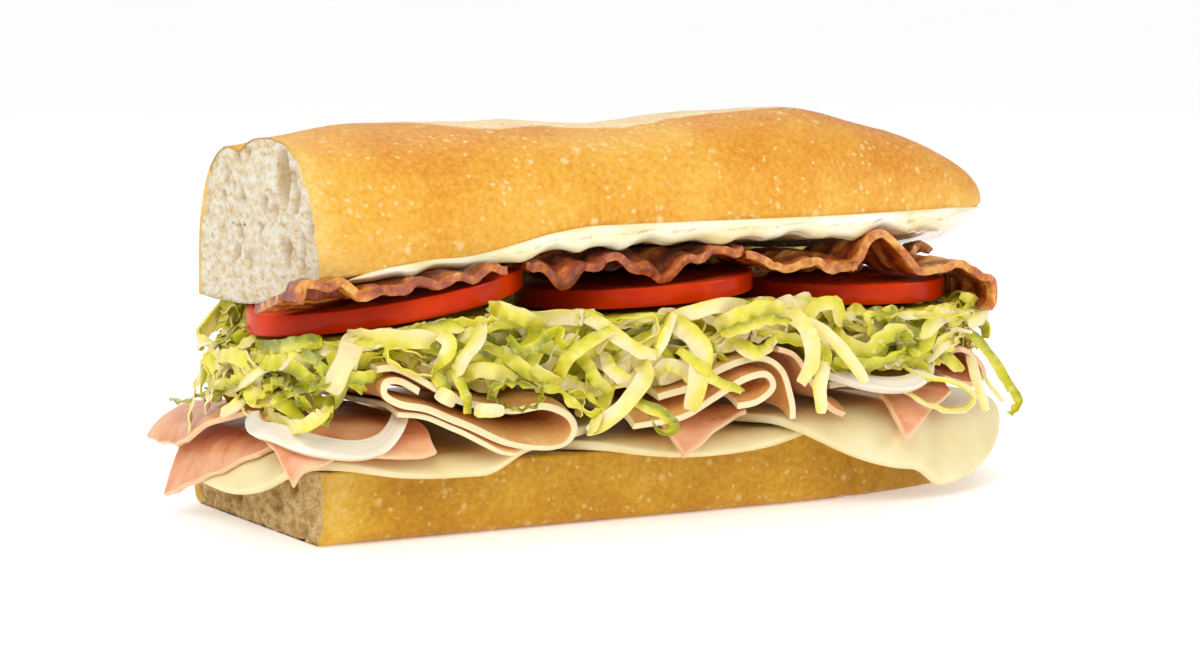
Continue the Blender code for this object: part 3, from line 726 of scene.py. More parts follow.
for name, path, front_y, back_y, columns in (
    ("turkey_left", ((-0.0925, 0.0258), (-0.0885, 0.0257), (-0.0840, 0.0240), (-0.0770, 0.0202),
                     (-0.0690, 0.0170), (-0.0600, 0.0152), (-0.0515, 0.0157), (-0.0450, 0.0138),
                     (-0.0428, 0.0105), (-0.0455, 0.0078), (-0.0535, 0.0078), (-0.0628, 0.0096),
                     (-0.0729, 0.0138), (-0.0804, 0.0167), (-0.0870, 0.0182), (-0.0908, 0.0203),
                     (-0.0905, 0.0228), (-0.0870, 0.0229), (-0.0825, 0.0206)), -0.0480, 0.0340, 170),
    ("turkey_middle", ((-0.0270, 0.0100), (-0.0150, 0.0110), (-0.0050, 0.0150), (0.0030, 0.0186),
                       (0.0085, 0.0190), (0.0105, 0.0160), (0.0060, 0.0134), (0.0010, 0.0126)),
     -0.0480, 0.0340, 90),
    ("turkey_over", ((-0.0200, 0.0150), (-0.0120, 0.0164), (-0.0030, 0.0206), (0.0070, 0.0224),
                     (0.0135, 0.0190), (0.0165, 0.0125), (0.0170, 0.0085)), -0.0470, 0.0340, 80),
    ("turkey_right", ((0.0310, 0.0122), (0.0420, 0.0126), (0.0520, 0.0128), (0.0600, 0.0132)),
     -0.0400, 0.0300, 50),
):
    fold = folded_slice(name + "_slice", path, front_y, back_y, TURKEY_THICKNESS, columns)
    finish_piece(fold, turkey, "turkey", name)


# --- The onion ------------------------------------------------------------------------------------
# Parts of raw white onion rings, cut across the layers: crisp, half clear, and shiny on the cut.
ONION_THICKNESS = 0.0023
ONION_WIDTH = 0.0040


def onion_bow(name, centre, radius, start, sweep, lift_at):
    """Part of an onion ring: it lies flat, from the start angle on, and thins towards both ends."""

    def place(u, v):
        angle = start + sweep * u
        swing = 0.0004 * grain((u * 0.02, 0, centre[0]), 0.006, 41)
        thinner = 1 - 0.35 * abs(2 * u - 1) ** 4
        reach = radius + swing + ONION_WIDTH * thinner * (v - 0.5)
        x, y = centre[0] + reach * math.cos(angle), centre[1] + reach * math.sin(angle)
        return drape(x, y, lift_at(x, y) + 0.0003 * math.sin(math.pi * v))

    piece = cut_slice(name, 90, 10, place, ONION_THICKNESS, 0.0006)
    mark(piece, "across", [
        math.hypot(v.co.x - centre[0], v.co.y - centre[1]) / ONION_WIDTH for v in piece.data.vertices
    ])
    return piece


onion = Finish(
    "raw onion", Subsurface_Weight=0.25, Subsurface_Scale=0.003, Subsurface_Radius=(1.0, 0.95, 0.8),
    Coat_Weight=0.35, Coat_Roughness=0.12,
)
layers = onion.add(
    "CombineXYZ", X=onion.reckon("MULTIPLY", onion.attribute("across"), 2.2),
    Y=onion.reckon("MULTIPLY", onion.mottle(onion.place, 60, 2), 1.2),
)
veins = onion.mottle(layers.outputs[0], 1, 2)
onion_tones = (0.3, (0.72, 0.63, 0.48)), (0.5, (0.85, 0.79, 0.66)), (0.66, (0.91, 0.87, 0.77))
onion.drive(
    Base_Color=onion.steps(veins, *onion_tones), Roughness=onion.spread(veins, 0.3, 0.7, 0.18, 0.34)
)
onion.bump((veins, 0.10, 0.0004))
for name, centre, radius, start, sweep, lift_at in (
    ("onion_left", (-0.0980, -0.0320), 0.0168, 145, 195,
     lambda x, y: 0.0098 + ham_rise(x, y) + 0.0014 * ease((x + 0.092) / 0.010)),
    ("onion_right", (0.0430, -0.0310), 0.0185, 196, 148, lambda x, y: 0.0160),
):
    bow = onion_bow(name + "_bow", centre, radius, math.radians(start), math.radians(sweep), lift_at)
    finish_piece(bow, onion, "onion", name)


# --- The lettuce ----------------------------------------------------------------------------------
# A heap of iceberg lettuce, shredded with a knife: curled ribbons from the green outer leaves and the
# pale ribs. They lie pressed together over the meats, and some hang out on every side.
TOMATOES = {
    "tomato_left": ((-0.0729, -0.0100, 0.0529), 0.0322, 0.0050, 0.152, -0.040),
    "tomato_middle": ((-0.0070, -0.0115, 0.0525), 0.0288, 0.0046, 0.055, -0.025),
    "tomato_right": ((0.0530, -0.0100, 0.0497), 0.0265, 0.0050, -0.005, 0.0),
}
MEAT_TOP = (
    (-0.1010, 0.0320), (-0.0960, 0.0424), (-0.0880, 0.0430), (-0.0840, 0.0425), (-0.0770, 0.0388),
    (-0.0690, 0.0356), (-0.0600, 0.0340), (-0.0500, 0.0342), (-0.0450, 0.0325), (-0.0380, 0.0310),
    (-0.0280, 0.0335), (-0.0150, 0.0355), (-0.0030, 0.0402), (0.0120, 0.0420), (0.0200, 0.0405),
    (0.0300, 0.0335), (0.0580, 0.0335), (0.0640, 0.0395), (0.0790, 0.0390), (0.0865, 0.0340),
)
LETTUCE_TOP = 0.0500
LETTUCE_BACK_RISE = 0.0110
LETTUCE_CENTRE_X = -0.0100
LETTUCE_HALF_LENGTH = 0.0965
TOP_CENTRE_Y = -0.0015
TOP_HALF_WIDTH = 0.0350
FRONT_EDGE = ((-0.1015, 0.0604), (-0.0700, 0.0638), (-0.0300, 0.0694), (0.0985, 0.0690))
FRONT_LIFT = (
    (-0.1015, 0.0092), (-0.0850, 0.0074), (-0.0600, 0.0045), (-0.0350, 0.0055), (0.0000, 0.0100),
    (0.0600, 0.0110), (0.0880, 0.0098), (0.0985, 0.0030),
)
LIFT_REACH = 0.042


def top_bread_underside(x, y):
    """Height of the top bread's cut face, which curls up to its front edge."""
    front = TOP_CENTRE_Y - TOP_HALF_WIDTH * heel_scale(x)
    share = min(max((y - front) / (LIFT_REACH * heel_scale(x)), 0.0), 1.0)
    return level(FRONT_EDGE, x) - level(FRONT_LIFT, x) * (1 - (1 - share) ** 1.3)


def tomato_height(name, x, y):
    """Height of the middle of a tomato slice's thickness at (x, y)."""
    centre, _, _, along_slope, across_slope = TOMATOES[name]
    return centre[2] + along_slope * (x - centre[0]) + across_slope * (y - centre[1])


def tomatoes_at(x, y, margin):
    """The tomato slices that lie within that margin of (x, y)."""
    return [
        name for name, (centre, radius, *_) in TOMATOES.items()
        if math.hypot(x - centre[0], y - centre[1]) < radius + margin
    ]


def lettuce_roof(x, y, margin=0.012):
    """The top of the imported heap: just under the tomato, or level where there is none."""
    roofs = [tomato_height(name, x, y) - TOMATOES[name][2] / 2 for name in tomatoes_at(x, y, margin)]
    level_roof = LETTUCE_TOP - 0.03 * (y + 0.040) - 0.5 * max(x - 0.076, 0.0) - 0.9 * max(-0.098 - x, 0.0)
    level_roof = min(
        level_roof + LETTUCE_BACK_RISE * ease((y - 0.024) / 0.014) * ease((x + 0.104) / 0.020),
        top_bread_underside(x, y) - 4 * TOUCH_GAP,
    )
    return min([level_roof] + [roof - 4 * TOUCH_GAP for roof in roofs])


# The shreds that show at the front. Each row has its leaf (0 rib, 1 green), its width in mm, its turn at
# either end in degrees, and then the points of its path as x, y, z in mm.
FRONT_SHREDS = (
    (0.35, 2.0, 20, 60, -106, 17.5, 39.4, -110, 12.9, 34.9, -112, 11.9, 29.7, -113, 12.1, 24.3, -113,
     12.8, 19.5),
    (0.15, 2.2, 0, 40, -103, -4.2, 44.3, -106, -0.6, 41.5, -109, 1.9, 36.5, -110, 9.4, 29.7),
    (1.0, 2.2, 20, 60, -101, 0.3, 48.4, -104, 2.8, 46.7, -107, 2.9, 44.5, -107, 10.2, 40.9),
    (0.6, 2.7, 0, 50, -105, -15.5, 39.6, -109, -14.4, 37.4, -112, -9.8, 35.3, -111, 6.3, 32.2),
    (0.05, 2.0, 0, 30, -104, -25.7, 42, -109, -23.6, 39.8, -111, -17.3, 36.3, -109, -2, 31.6),
    (0.75, 3.2, 0, 30, -104, -6.4, 42.3, -107, -25.9, 44.5, -107, -38, 46.6, -103, -41, 47.4),
    (0.7, 2.9, 0, -30, -104, -9.8, 40.8, -108, -31.9, 42, -108, -42.8, 40.1, -104, -41.9, 36.1),
    (0.8, 2.2, 30, 80, -105, -15.5, 37.8, -110, -36.4, 37.7, -111, -45.6, 35.7, -107, -42, 32.8),
    (0.0, 4.4, 0, 10, -94.7, -41.5, 47.6, -98.7, -46.5, 45.7, -102.3, -49.5, 42.2, -105.5, -50.5, 37.2),
    (0.1, 1.2, 0, 20, -93.5, -42, 46.9, -97.5, -47, 43.9, -100, -48, 39.3),
    (0.3, 3.7, 0, 20, -96.2, -39, 48.1, -93.1, -45, 47.7, -84.3, -47, 47.4, -72.3, -44, 44.8),
    (0.45, 2.2, 70, 90, -79.4, -44, 43, -85.5, -47, 45.2, -90.2, -49, 45.9, -91.6, -50, 44.3, -88.7, -50,
     41.7, -84.1, -49, 39.7, -79.4, -47, 38.8, -77.6, -45, 40.7),
    (0.1, 2.5, 0, 20, -106, -8.5, 32.6, -111, -12, 30.6, -112, -4.3, 27.4),
    (0.3, 2.7, 10, 30, -106, -15.3, 29.3, -110, -32.3, 29.1, -111, -45.5, 29.2, -109, -51.7, 31.9, -105,
     -49.3, 34),
    (0.9, 2.0, 20, 50, -105, -22.1, 32.5, -109, -39.5, 36.6, -108, -49.7, 38.8, -102, -46.1, 39.2),
    (0.85, 2.2, 0, 40, -101.6, -42, 34.7, -103.5, -45, 32, -104.7, -46, 29.1),
    (0.6, 1.7, 40, 80, -107, 11.7, 30.6, -111, 11.8, 29.4, -112, 19.3, 27.2, -110, 30.6, 26.5),
    (0.2, 1.7, 20, 50, -105, 3, 40.9, -110, -2.8, 36.7, -112, 0.9, 31.7, -111, 7.7, 26.1),
    (0.75, 2.5, 0, 40, -106, -35.7, 44.5, -109, -52, 44.2, -109, -54, 40.9, -106, -43.1, 36.4),
    (0.55, 2.2, 0, 40, -103, 16.1, 40.6, -107, 15.1, 36.9, -109, 14.8, 31.8, -108, 15.5, 27.4),
    (0.4, 2.2, 10, 50, -105, -27.9, 39.1, -108, -24.6, 36.2, -110, -20, 32.6, -108, -6.1, 30.9),
    (0.2, 2.0, 0, 30, -104, -23.5, 44.7, -107, -21.3, 41.3, -108, -19, 37, -105, -16.5, 33.3),
    (0.65, 2.5, 0, 30, -102, -43, 45.1, -101.9, -47, 42.4, -98.6, -47, 39.1, -94.3, -44, 35.8),
    (0.8, 2.5, 0, 30, -104, -31.2, 41.7, -103.9, -47, 41.2, -97.1, -48, 39.5, -89.3, -44, 39.9),
    (0.25, 2.7, 0, 40, -64.7, -44, 50.5, -68, -49, 46.9, -72.3, -50, 42.7, -74.1, -49, 39.6, -76.1, -46,
     37.1),
    (0.55, 2.9, 0, 30, -70.8, -42, 46.8, -69.8, -46, 44, -67.3, -47, 41.2, -62.2, -44, 39.7),
    (0.5, 3.2, 0, 40, -61.9, -42, 53.1, -60.4, -47, 52.6, -56.6, -49, 50.8, -50.1, -46, 48.1),
    (0.75, 2.2, 10, 70, -59.1, -46, 46.5, -58.2, -50, 43.7, -54.6, -51, 44.5, -51, -50, 46.7, -47.9, -50,
     47.7, -49, -51, 44.9, -45.6, -50, 43.9, -41.1, -46, 46.4),
    (0.55, 2.7, 0, 20, -34.6, -50, 47, -41.2, -52, 45, -45.9, -51, 41.7, -47.4, -48, 36.9, -46.8, -44,
     33.6),
    (0.8, 2.2, 60, 90, -61.2, -46, 31.1, -66.1, -50, 34.4, -64.3, -52, 36.6, -59.3, -53, 36.4, -53.9,
     -52, 34.3, -54.1, -51, 31.3, -58.5, -50, 30.1, -60.7, -47, 30.8),
    (0.6, 2.0, 50, 85, -53.1, -50, 34.7, -49, -52, 34.2, -46.4, -53, 31.2, -41.2, -52, 28.5, -38.1, -51,
     29, -41.2, -50, 32.6, -45.3, -49, 33.4),
    (0.2, 2.7, 10, 40, -34.2, -46, 41.2, -35.5, -51, 38.3, -32.9, -52, 36, -26.4, -49, 33.4),
    (0.2, 3.4, 0, 20, -26.3, -46, 39.1, -26.2, -51, 37.1, -30, -54, 33.3, -35.6, -54, 28.1, -40.7, -50,
     23.8),
    (0.7, 2.5, 10, 85, -30.1, -50, 31, -27.9, -54, 29.4, -24.6, -56, 27.8, -21.6, -56, 25.1, -22.7, -55,
     22.7, -24.7, -54, 24.1, -26.2, -52, 27.2),
    (0.15, 2.9, 0, 20, -38.9, -42, 50.8, -35.9, -47, 48.1, -32.3, -50, 44.7, -27.3, -51, 41.8, -22.7,
     -50, 40.3),
    (0.1, 2.2, 0, 30, -22.7, -49, 39.9, -22, -51, 42.9, -19.8, -50, 46.1, -15.6, -46, 49.3),
    (0.15, 2.0, 60, 80, -30.5, -44, 47.8, -26.9, -48, 48.9, -22.7, -49, 48.5, -22.4, -49, 45.7, -25.6,
     -48, 43),
    (0.15, 4.4, 0, 10, -15.5, -44, 48.1, -13.1, -49, 44.7, -11.6, -52, 40.7, -13.6, -54, 35.5, -15.4,
     -53, 27.5),
    (0.55, 2.2, 0, 40, -16.9, -50, 41.3, -13.3, -54, 37.8, -9.6, -55, 34.2, -0.7, -52, 30.9),
    (0.05, 2.9, 0, 20, -14.4, -43, 48, -10.8, -47, 49.6, -5.4, -48, 50.8, 3.4, -46, 50.6),
    (0.0, 2.5, 0, 10, -69.9, -50, 30.8, -67.4, -52, 30.7, -62.3, -50, 30.3),
    (0.0, 2.7, 0, 10, -78.1, -48, 35.2, -76.9, -50, 34.2, -73.6, -48, 32.6),
    (0.65, 2.0, 0, 50, -73.8, -48, 39.9, -73.4, -51, 36.6, -72.1, -51, 33.3, -70.4, -48, 29.9),
    (0.3, 2.0, 20, 60, -37.5, -50, 29.1, -39.4, -52, 26.7, -40.7, -50, 23.3),
    (0.45, 2.9, 0, 30, -60.2, -44, 43.2, -59.2, -48, 41.3, -56.1, -50, 38.6, -50.2, -47, 36),
    (0.35, 3.2, 0, 20, -70.8, -46, 37.7, -68.3, -49, 39.7, -63.8, -50, 39, -57.6, -46, 36.4),
    (0.5, 2.5, 0, 50, -50.9, -46, 42.4, -55.1, -50, 39.9, -51.5, -51, 37, -46.8, -48, 35),
    (0.6, 2.5, 0, 40, -41.3, -45, 41.7, -40.1, -49, 38.9, -38.6, -50, 35.7, -33.2, -48, 32.3),
    (0.3, 2.9, 0, 30, -77.8, -44, 48.7, -75.3, -48, 46.7, -76.3, -49, 43.3, -77.9, -46, 40.8),
    (0.7, 2.5, 0, 40, -78.4, -46, 39.5, -77.4, -49, 37.1, -75.6, -48, 33.7),
    (0.25, 2.9, 0, 30, -21, -46, 35, -20, -49, 37.7, -16.3, -50, 37.1, -11.8, -47, 33.7),
    (0.4, 3.4, 0, 40, -4.2, -46, 45.3, -2.1, -51, 48.3, 3.6, -52, 50, 13.3, -48, 49.8),
    (0.6, 2.5, 30, 60, -4.3, -48, 44.1, 0.1, -52, 45.7, 6.4, -52, 47.2, 15, -48, 45.9),
    (0.2, 3.2, 0, 20, 13.7, -46, 47.7, 16.2, -50, 46.5, 17.7, -53, 41.8, 17.4, -54, 36.4, 14.3, -54,
     31.9),
    (0.1, 2.5, 0, 20, 18.6, -44, 46.8, 23.2, -50, 43.3, 26.6, -54, 38.5, 32.6, -54, 31.2),
    (0.65, 2.0, 0, 30, 21.6, -50, 41, 22.2, -53, 37.9, 20.2, -54, 34.3),
    (0.0, 2.7, 0, 20, 21.4, -53, 36.5, 19, -55, 31.7, 20.3, -54, 24.6),
    (0.6, 3.7, 0, 40, 31.9, -40, 44, 31.1, -47, 39.7, 36.4, -49, 37.6, 41, -48, 40.6, 46.2, -48, 42,
     51.6, -44, 38.9),
    (0.7, 2.5, 20, 60, 28.7, -46, 35.6, 32.9, -50, 35.1, 41, -49, 35.2, 49.8, -45, 36.9),
    (1.0, 2.2, 0, 30, 53.3, -40, 46.3, 48.2, -45, 43.8, 49.2, -47, 42, 54.5, -44, 40.7),
    (0.5, 3.2, 0, 50, 56.9, -40, 43.9, 59.5, -43, 45.5, 67.5, -40, 45.3),
    (0.7, 2.7, 0, 40, 59.6, -42, 41.4, 55.6, -45, 37.6, 51.6, -44, 36),
    (0.05, 2.2, 0, 30, 70.2, -38, 40.2, 62.6, -43, 37.2, 57.3, -43, 33.6),
    (0.65, 2.2, 0, 50, 74.7, -30, 47.4, 72.4, -36, 41.1, 75.1, -40, 37.2, 79.3, -41, 31.8, 84.2, -41, 25,
     87.5, -40, 21.4, 85.5, -39, 18.1),
    (1.0, 2.2, 10, 40, 78.6, -34, 42.1, 79.7, -36, 40.2, 80.7, -35, 37.1),
    (0.3, 1.2, 10, 40, 50.5, -44, 32.4, 54.2, -48, 30.4, 60.3, -49, 29.1, 66.9, -48, 26.4, 68.6, -47,
     23.2, 63.7, -48, 21.4, 56, -49, 23, 49.3, -48, 26.3, 44.9, -45, 30.1),
    (0.05, 2.0, 0, 20, 73.2, -38, 34.8, 72.2, -43, 28.5, 75.3, -43, 20.3),
    (0.05, 0.7, 20, 50, 76.9, -38, 30.1, 77.2, -42, 26, 81.9, -41, 21.6),
    (0.35, 3.2, 0, 30, 38.3, -38, 47.6, 40.4, -42, 44.9, 44.3, -44, 43.5, 52.2, -40, 44.1),
    (0.5, 2.7, 0, 40, 62.3, -40, 35.2, 64.4, -43, 33.4, 68.7, -42, 30.1),
    (0.45, 2.9, 0, 40, 1, -46, 41.7, 2.6, -51, 39.8, 6.5, -50, 40, 12.3, -46, 42.1),
)
HEAP_CENTRE_Y = -0.0015
HEAP_HALF_WIDTH = 0.0400
HEAP_CORNER = 0.012
HEAP_ROUND = 0.546
HEAP_LEFT_END = -0.1125
SHRED_COUNT = 400
TOP_SHRED_COUNT = 160
SHRED_POINTS = 9
RIBBON_GRID = (24, 3)
RIB_LEAF = 0.12
LEAF_THICKNESS = 0.0004
RIB_THICKNESS = 0.0008
SHRED_EDGE_ANGLE = math.radians(50)
TRACED_WIDTH_SCALE = 1.15
LEAF_AT = (
    (-0.105, 0.44), (-0.060, 0.40), (-0.030, 0.28), (0.005, 0.22), (0.030, 0.32), (0.085, 0.44),
)


def heap_side(distance):
    """(x, y, outward x, outward y) at that distance round the heap, from the front left corner."""
    long_side = 2 * (LETTUCE_HALF_LENGTH - HEAP_CORNER)
    short_side = 2 * (HEAP_HALF_WIDTH - HEAP_CORNER)
    turn = HEAP_CORNER * math.pi / 2
    distance %= 2 * (long_side + short_side) + 4 * turn
    heading, x, y = 0.0, -long_side / 2, -HEAP_HALF_WIDTH
    for side in (long_side, short_side, long_side, short_side):
        ahead = Vector((math.cos(heading), math.sin(heading)))
        if distance <= side:
            x, y = x + ahead.x * distance, y + ahead.y * distance
            return x + LETTUCE_CENTRE_X, y + HEAP_CENTRE_Y, ahead.y, -ahead.x
        distance -= side
        x, y = x + ahead.x * side, y + ahead.y * side
        outward = Vector((ahead.y, -ahead.x))
        middle = Vector((x, y)) - outward * HEAP_CORNER
        if distance <= turn:
            angle = heading - math.pi / 2 + distance / HEAP_CORNER
            out = Vector((math.cos(angle), math.sin(angle)))
            spot = middle + out * HEAP_CORNER
            return spot.x + LETTUCE_CENTRE_X, spot.y + HEAP_CENTRE_Y, out.x, out.y
        distance -= turn
        heading += math.pi / 2
        out = Vector((math.cos(heading - math.pi / 2), math.sin(heading - math.pi / 2)))
        x, y = middle.x + out.x * HEAP_CORNER, middle.y + out.y * HEAP_CORNER
    return x + LETTUCE_CENTRE_X, y + HEAP_CENTRE_Y, 0.0, -1.0


def tucked(x, y):
    """Draws in the heap's back corner at the cut end, and its front corner at the heel."""
    back = ease((-0.084 - x) / 0.020) * ease((y - 0.006) / 0.024)
    front = ease((x - 0.062) / 0.020) * ease((-0.006 - y) / 0.024)
    return x + 0.005 * back - 0.006 * front, y - 0.010 * back + 0.006 * front


def loose_shred(rng, distance):
    """A path that wanders round the heap between meat and tomato, bulges out and dives back in."""
    length = rng.uniform(0.014, 0.034)
    heading = rng.uniform(-1.0, 1.0) + rng.choice((0.0, math.pi))
    curl = rng.gauss(0, 70)
    curl_change = rng.gauss(0, 5000)
    bulge = rng.uniform(0.0010, 0.0050)
    curl *= 0.35 if heap_side(distance)[0] < -0.095 else 1.0
    hangs = rng.random() < 0.22
    depth = rng.uniform(-0.0035, 0.0005)
    x, y, _, _ = heap_side(distance)
    low, high = level(MEAT_TOP, x) + 0.001, lettuce_roof(x, y) - 0.001
    z = low + (high - low) * rng.random()
    points = []
    for index in range(SHRED_POINTS):
        share = index / (SHRED_POINTS - 1)
        x, y, out_x, out_y = heap_side(distance)
        low, high = level(MEAT_TOP, x) + 0.0005, lettuce_roof(x, y) - 0.0005
        z = min(max(z, low), max(high, low + 0.001))
        rise = math.sin(math.pi * min(share * (0.62 if hangs else 1.0), 1.0)) ** 0.7
        out = depth + bulge * rise + 0.0008 * grain((distance, z, bulge), 0.004, 51)
        droop = 0.006 * max(share - 0.6, 0.0) ** 1.3 * 3 if hangs else 0.0
        points.append(Vector((*tucked(max(x + out_x * out, HEAP_LEFT_END), y + out_y * out), z - droop)))
        distance += math.cos(heading) * length / (SHRED_POINTS - 1)
        z += math.sin(heading) * length / (SHRED_POINTS - 1)
        heading += (curl + curl_change * (share - 0.5) * length) * length / (SHRED_POINTS - 1)
    outward = Vector((out_x, out_y, 0.25)).normalized()
    return points, outward


def roof_shred(rng):
    """A path that wanders over the top of the heap, where neither bread nor tomato hides it."""
    x, y = 0.0, 0.0
    while tomatoes_at(x, y, 0.003) or (-0.090 < x < 0.050 and y < 0.024):
        x, y = rng.uniform(-0.101, 0.082), rng.uniform(-0.034, 0.037)
    heading, curl = rng.uniform(0, math.tau), rng.gauss(0, 70)
    step, lift = rng.uniform(0.0015, 0.0032), rng.uniform(-0.0002, 0.0014)
    points = []
    for _ in range(SHRED_POINTS):
        z = lettuce_roof(x, y) + lift
        if abs(y - TOP_CENTRE_Y) < TOP_HALF_WIDTH * heel_scale(x) + 0.001:
            z = min(z, top_bread_underside(x, y) - 0.0014)
        points.append(Vector((*tucked(x, y), z)))
        heading += curl * step
        x = min(max(x + math.cos(heading) * step, -0.105), 0.085)
        y = min(max(y + math.sin(heading) * step, -0.039), 0.0385)
    return points, Vector((0.2, 0.2, 1.0)).normalized()


def ribbon(pattern, points, outward, width, turns, leaf, rng, marks):
    """One shred: a copy of the pattern grid, laid along a path, with waved edges and a cupped middle."""
    shape = pattern.data.copy()
    wave = rng.uniform(0.0030, 0.0065)
    phases = rng.uniform(0, math.tau), rng.uniform(0, math.tau)
    ruffle = rng.uniform(0.25, 0.80) * 0.001 * (0.25 if leaf < 0.15 else 1.0)
    cup = rng.uniform(-0.22, 0.30) * width
    green_side = rng.choice((-1, 1)) * rng.uniform(0.05, 0.38)
    steps = [
        math.dist(along(points, k / 12), along(points, (k + 1) / 12)) for k in range(12)
    ]
    length = sum(steps)
    for vertex in shape.vertices:
        u, v = (vertex.co.x + 1) / 2, vertex.co.y
        spot = along(points, u)
        ahead = (along(points, min(u + 0.03, 1.0)) - along(points, max(u - 0.03, 0.0))).normalized()
        side = ahead.cross(outward)
        side = side.normalized() if side.length > 1e-3 else Vector((0, 0, 1))
        turn = turns[0] + (turns[1] - turns[0]) * u
        side = Matrix.Rotation(turn, 3, ahead) @ side
        facing = side.cross(ahead)
        taper = 1 - 0.45 * abs(2 * u - 1) ** 5
        wander = 1 + 0.30 * grain((u * length, width + v * 0.004, leaf), 0.005, 61)
        phase = phases[0] if v > 0 else phases[1]
        lift = ruffle * abs(v) ** 1.5 * math.sin(u * length / wave * math.tau + phase)
        lift -= cup * (1 - v * v) * 0.5
        vertex.co = spot + side * (0.5 * width * taper * wander * v) + facing * lift
        tone = leaf + green_side * v + 0.24 * grain((u * length, v * 0.002, leaf), 0.006, 62)
        marks.append(min(max(tone, 0.0), 1.0))
    made = bpy.data.objects.new("shred", shape)
    bpy.context.scene.collection.objects.link(made)
    return made


def shred_heap(name, pattern, shreds, thickness, finish):
    """Joins one kind of shred into a piece, and gives all of it the leaf's thickness."""
    marks, made = [], []
    for points, outward, width, turns, leaf, seed in shreds:
        made.append(ribbon(pattern, points, outward, width, turns, leaf, random.Random(seed), marks))
    select_only(*made)
    bpy.ops.object.join()
    heap = start_piece(name)
    mark(heap, "leaf", marks)
    thicken(heap, thickness)
    finish_piece(heap, finish, "lettuce", "lettuce")
    bpy.ops.object.shade_smooth_by_angle(angle=SHRED_EDGE_ANGLE)


LEAF_GRAIN = pattern_group("leaf grain", {
    "Clouds": lambda look, place: look.mottle(place, 260, 4, 0.6),
    "Veins": lambda look, place: look.mottle(look.stretched(place, (700, 300, 700)), 1, 2),
})


def lettuce_finish(name, shine):
    """Leaf, pale at 0 of the leaf attribute and green at 1, with faint veins."""
    look = Finish(
        name, Subsurface_Weight=0.15, Subsurface_Scale=0.0015, Subsurface_Radius=(1.0, 0.9, 0.3),
        Specular_IOR_Level=0.45 * shine, Coat_Weight=0.15 * shine, Coat_Roughness=0.2,
    )
    clouds, veins = look.use(LEAF_GRAIN)
    tone = look.reckon("ADD", look.attribute("leaf"), look.reckon("MULTIPLY_ADD", clouds, 0.5, -0.25))
    colour = look.steps(
        tone, (0.02, (0.92, 0.80, 0.45)), (0.22, (0.87, 0.76, 0.24)), (0.46, (0.79, 0.71, 0.060)),
        (0.72, (0.58, 0.56, 0.014)), (1.0, (0.24, 0.26, 0.002)),
    )
    rough = 0.9 - 0.6 * shine
    look.drive(
        Base_Color=look.blend(look.spread(veins, 0.55, 0.70, 0.0, 0.35), colour, (0.90, 0.80, 0.40)),
        Roughness=look.spread(clouds, 0.3, 0.7, rough - 0.06, rough + 0.1),
    )
    look.bump((veins, 0.25, 0.0003), (clouds, 0.3, 0.0005))
    return look


def lettuce_heart():
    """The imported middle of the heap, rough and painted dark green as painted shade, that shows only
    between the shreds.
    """
    heart = divided_block("lettuce_heart", ((90,), (34,), (6,)))
    leaf = []
    for vertex in heart.data.vertices:
        along_share, across, up = vertex.co
        x = LETTUCE_CENTRE_X + (LETTUCE_HALF_LENGTH - 0.003) * along_share
        half = (HEAP_HALF_WIDTH - 0.003) * math.sqrt(max(1 - abs(along_share) ** 8, 0.1))
        y = half * across + HEAP_CENTRE_Y
        low = level(MEAT_TOP, x) + 0.0006
        high = max(lettuce_roof(x, y) + 0.0008, low + 0.0012)
        spot = Vector((x, y, low + (high - low) * (up + 1) / 2))
        rough = 0.0016 * grain(spot, 0.005, 71)
        sink = 0.0014 * (0.5 + 0.5 * grain(spot, 0.004, 73)) * (up + 1) / 2
        spot = Vector((*tucked(x, y), spot.z))
        vertex.co = spot + Vector((along_share * rough, across * rough, -min(sink, (high - low) * 0.4)))
        # Painted shade: the heart's leaf tone is held dark green, for the shade in the gaps between the
        # shreds.
        leaf.append(0.72 + 0.20 * grain(spot, 0.008, 72))
    mark(heart, "leaf", leaf)
    return heart


lettuce = lettuce_finish("iceberg lettuce", 1.0)
finish_piece(lettuce_heart(), lettuce_finish("packed lettuce", 0.1), "lettuce", "lettuce")
bpy.ops.mesh.primitive_grid_add(x_subdivisions=RIBBON_GRID[0], y_subdivisions=RIBBON_GRID[1], size=2)
pattern = start_piece("shred_pattern")
shred_rng = random.Random(12)
leaves, ribs = [], []
for leaf, width, turn_start, turn_end, *path in FRONT_SHREDS:
    points = [Vector(path[at:at + 3]) / 1000 for at in range(0, len(path), 3)]
    outward = Vector((-0.35, -0.9, 0.2)).normalized()
    if sum(spot.x for spot in points) / len(points) < -0.104:
        outward = Vector((-0.9, -0.4, 0.2)).normalized()
    turns = math.radians(turn_start), math.radians(turn_end)
    kind = ribs if leaf < RIB_LEAF else leaves
    seed = len(leaves) + 1000 * len(ribs)
    kind.append((points, outward, width * TRACED_WIDTH_SCALE / 1000, turns, leaf, seed))
for index in range(SHRED_COUNT):
    start = index * HEAP_ROUND / SHRED_COUNT + shred_rng.uniform(-0.003, 0.003)
    points, outward = loose_shred(shred_rng, start)
    leaf = min(max(level(LEAF_AT, points[4].x) + shred_rng.gauss(0, 0.25), 0.0), 1.0)
    turns = shred_rng.gauss(0, 0.6), shred_rng.gauss(0, 0.9)
    width = shred_rng.uniform(0.0018, 0.0046)
    kind = ribs if leaf < RIB_LEAF else leaves
    kind.append((points, outward, width, turns, leaf, 5000 + index))
roof = []
for index in range(TOP_SHRED_COUNT):
    points, outward = roof_shred(shred_rng)
    leaf = min(max(level(LEAF_AT, points[4].x) + shred_rng.gauss(0, 0.22), 0.0), 1.0)
    turns = shred_rng.gauss(0, 0.4), shred_rng.gauss(0, 0.5)
    roof.append((points, outward, shred_rng.uniform(0.0022, 0.0048), turns, leaf, 9000 + index))
shred_heap("lettuce_top", pattern, roof, LEAF_THICKNESS, lettuce)
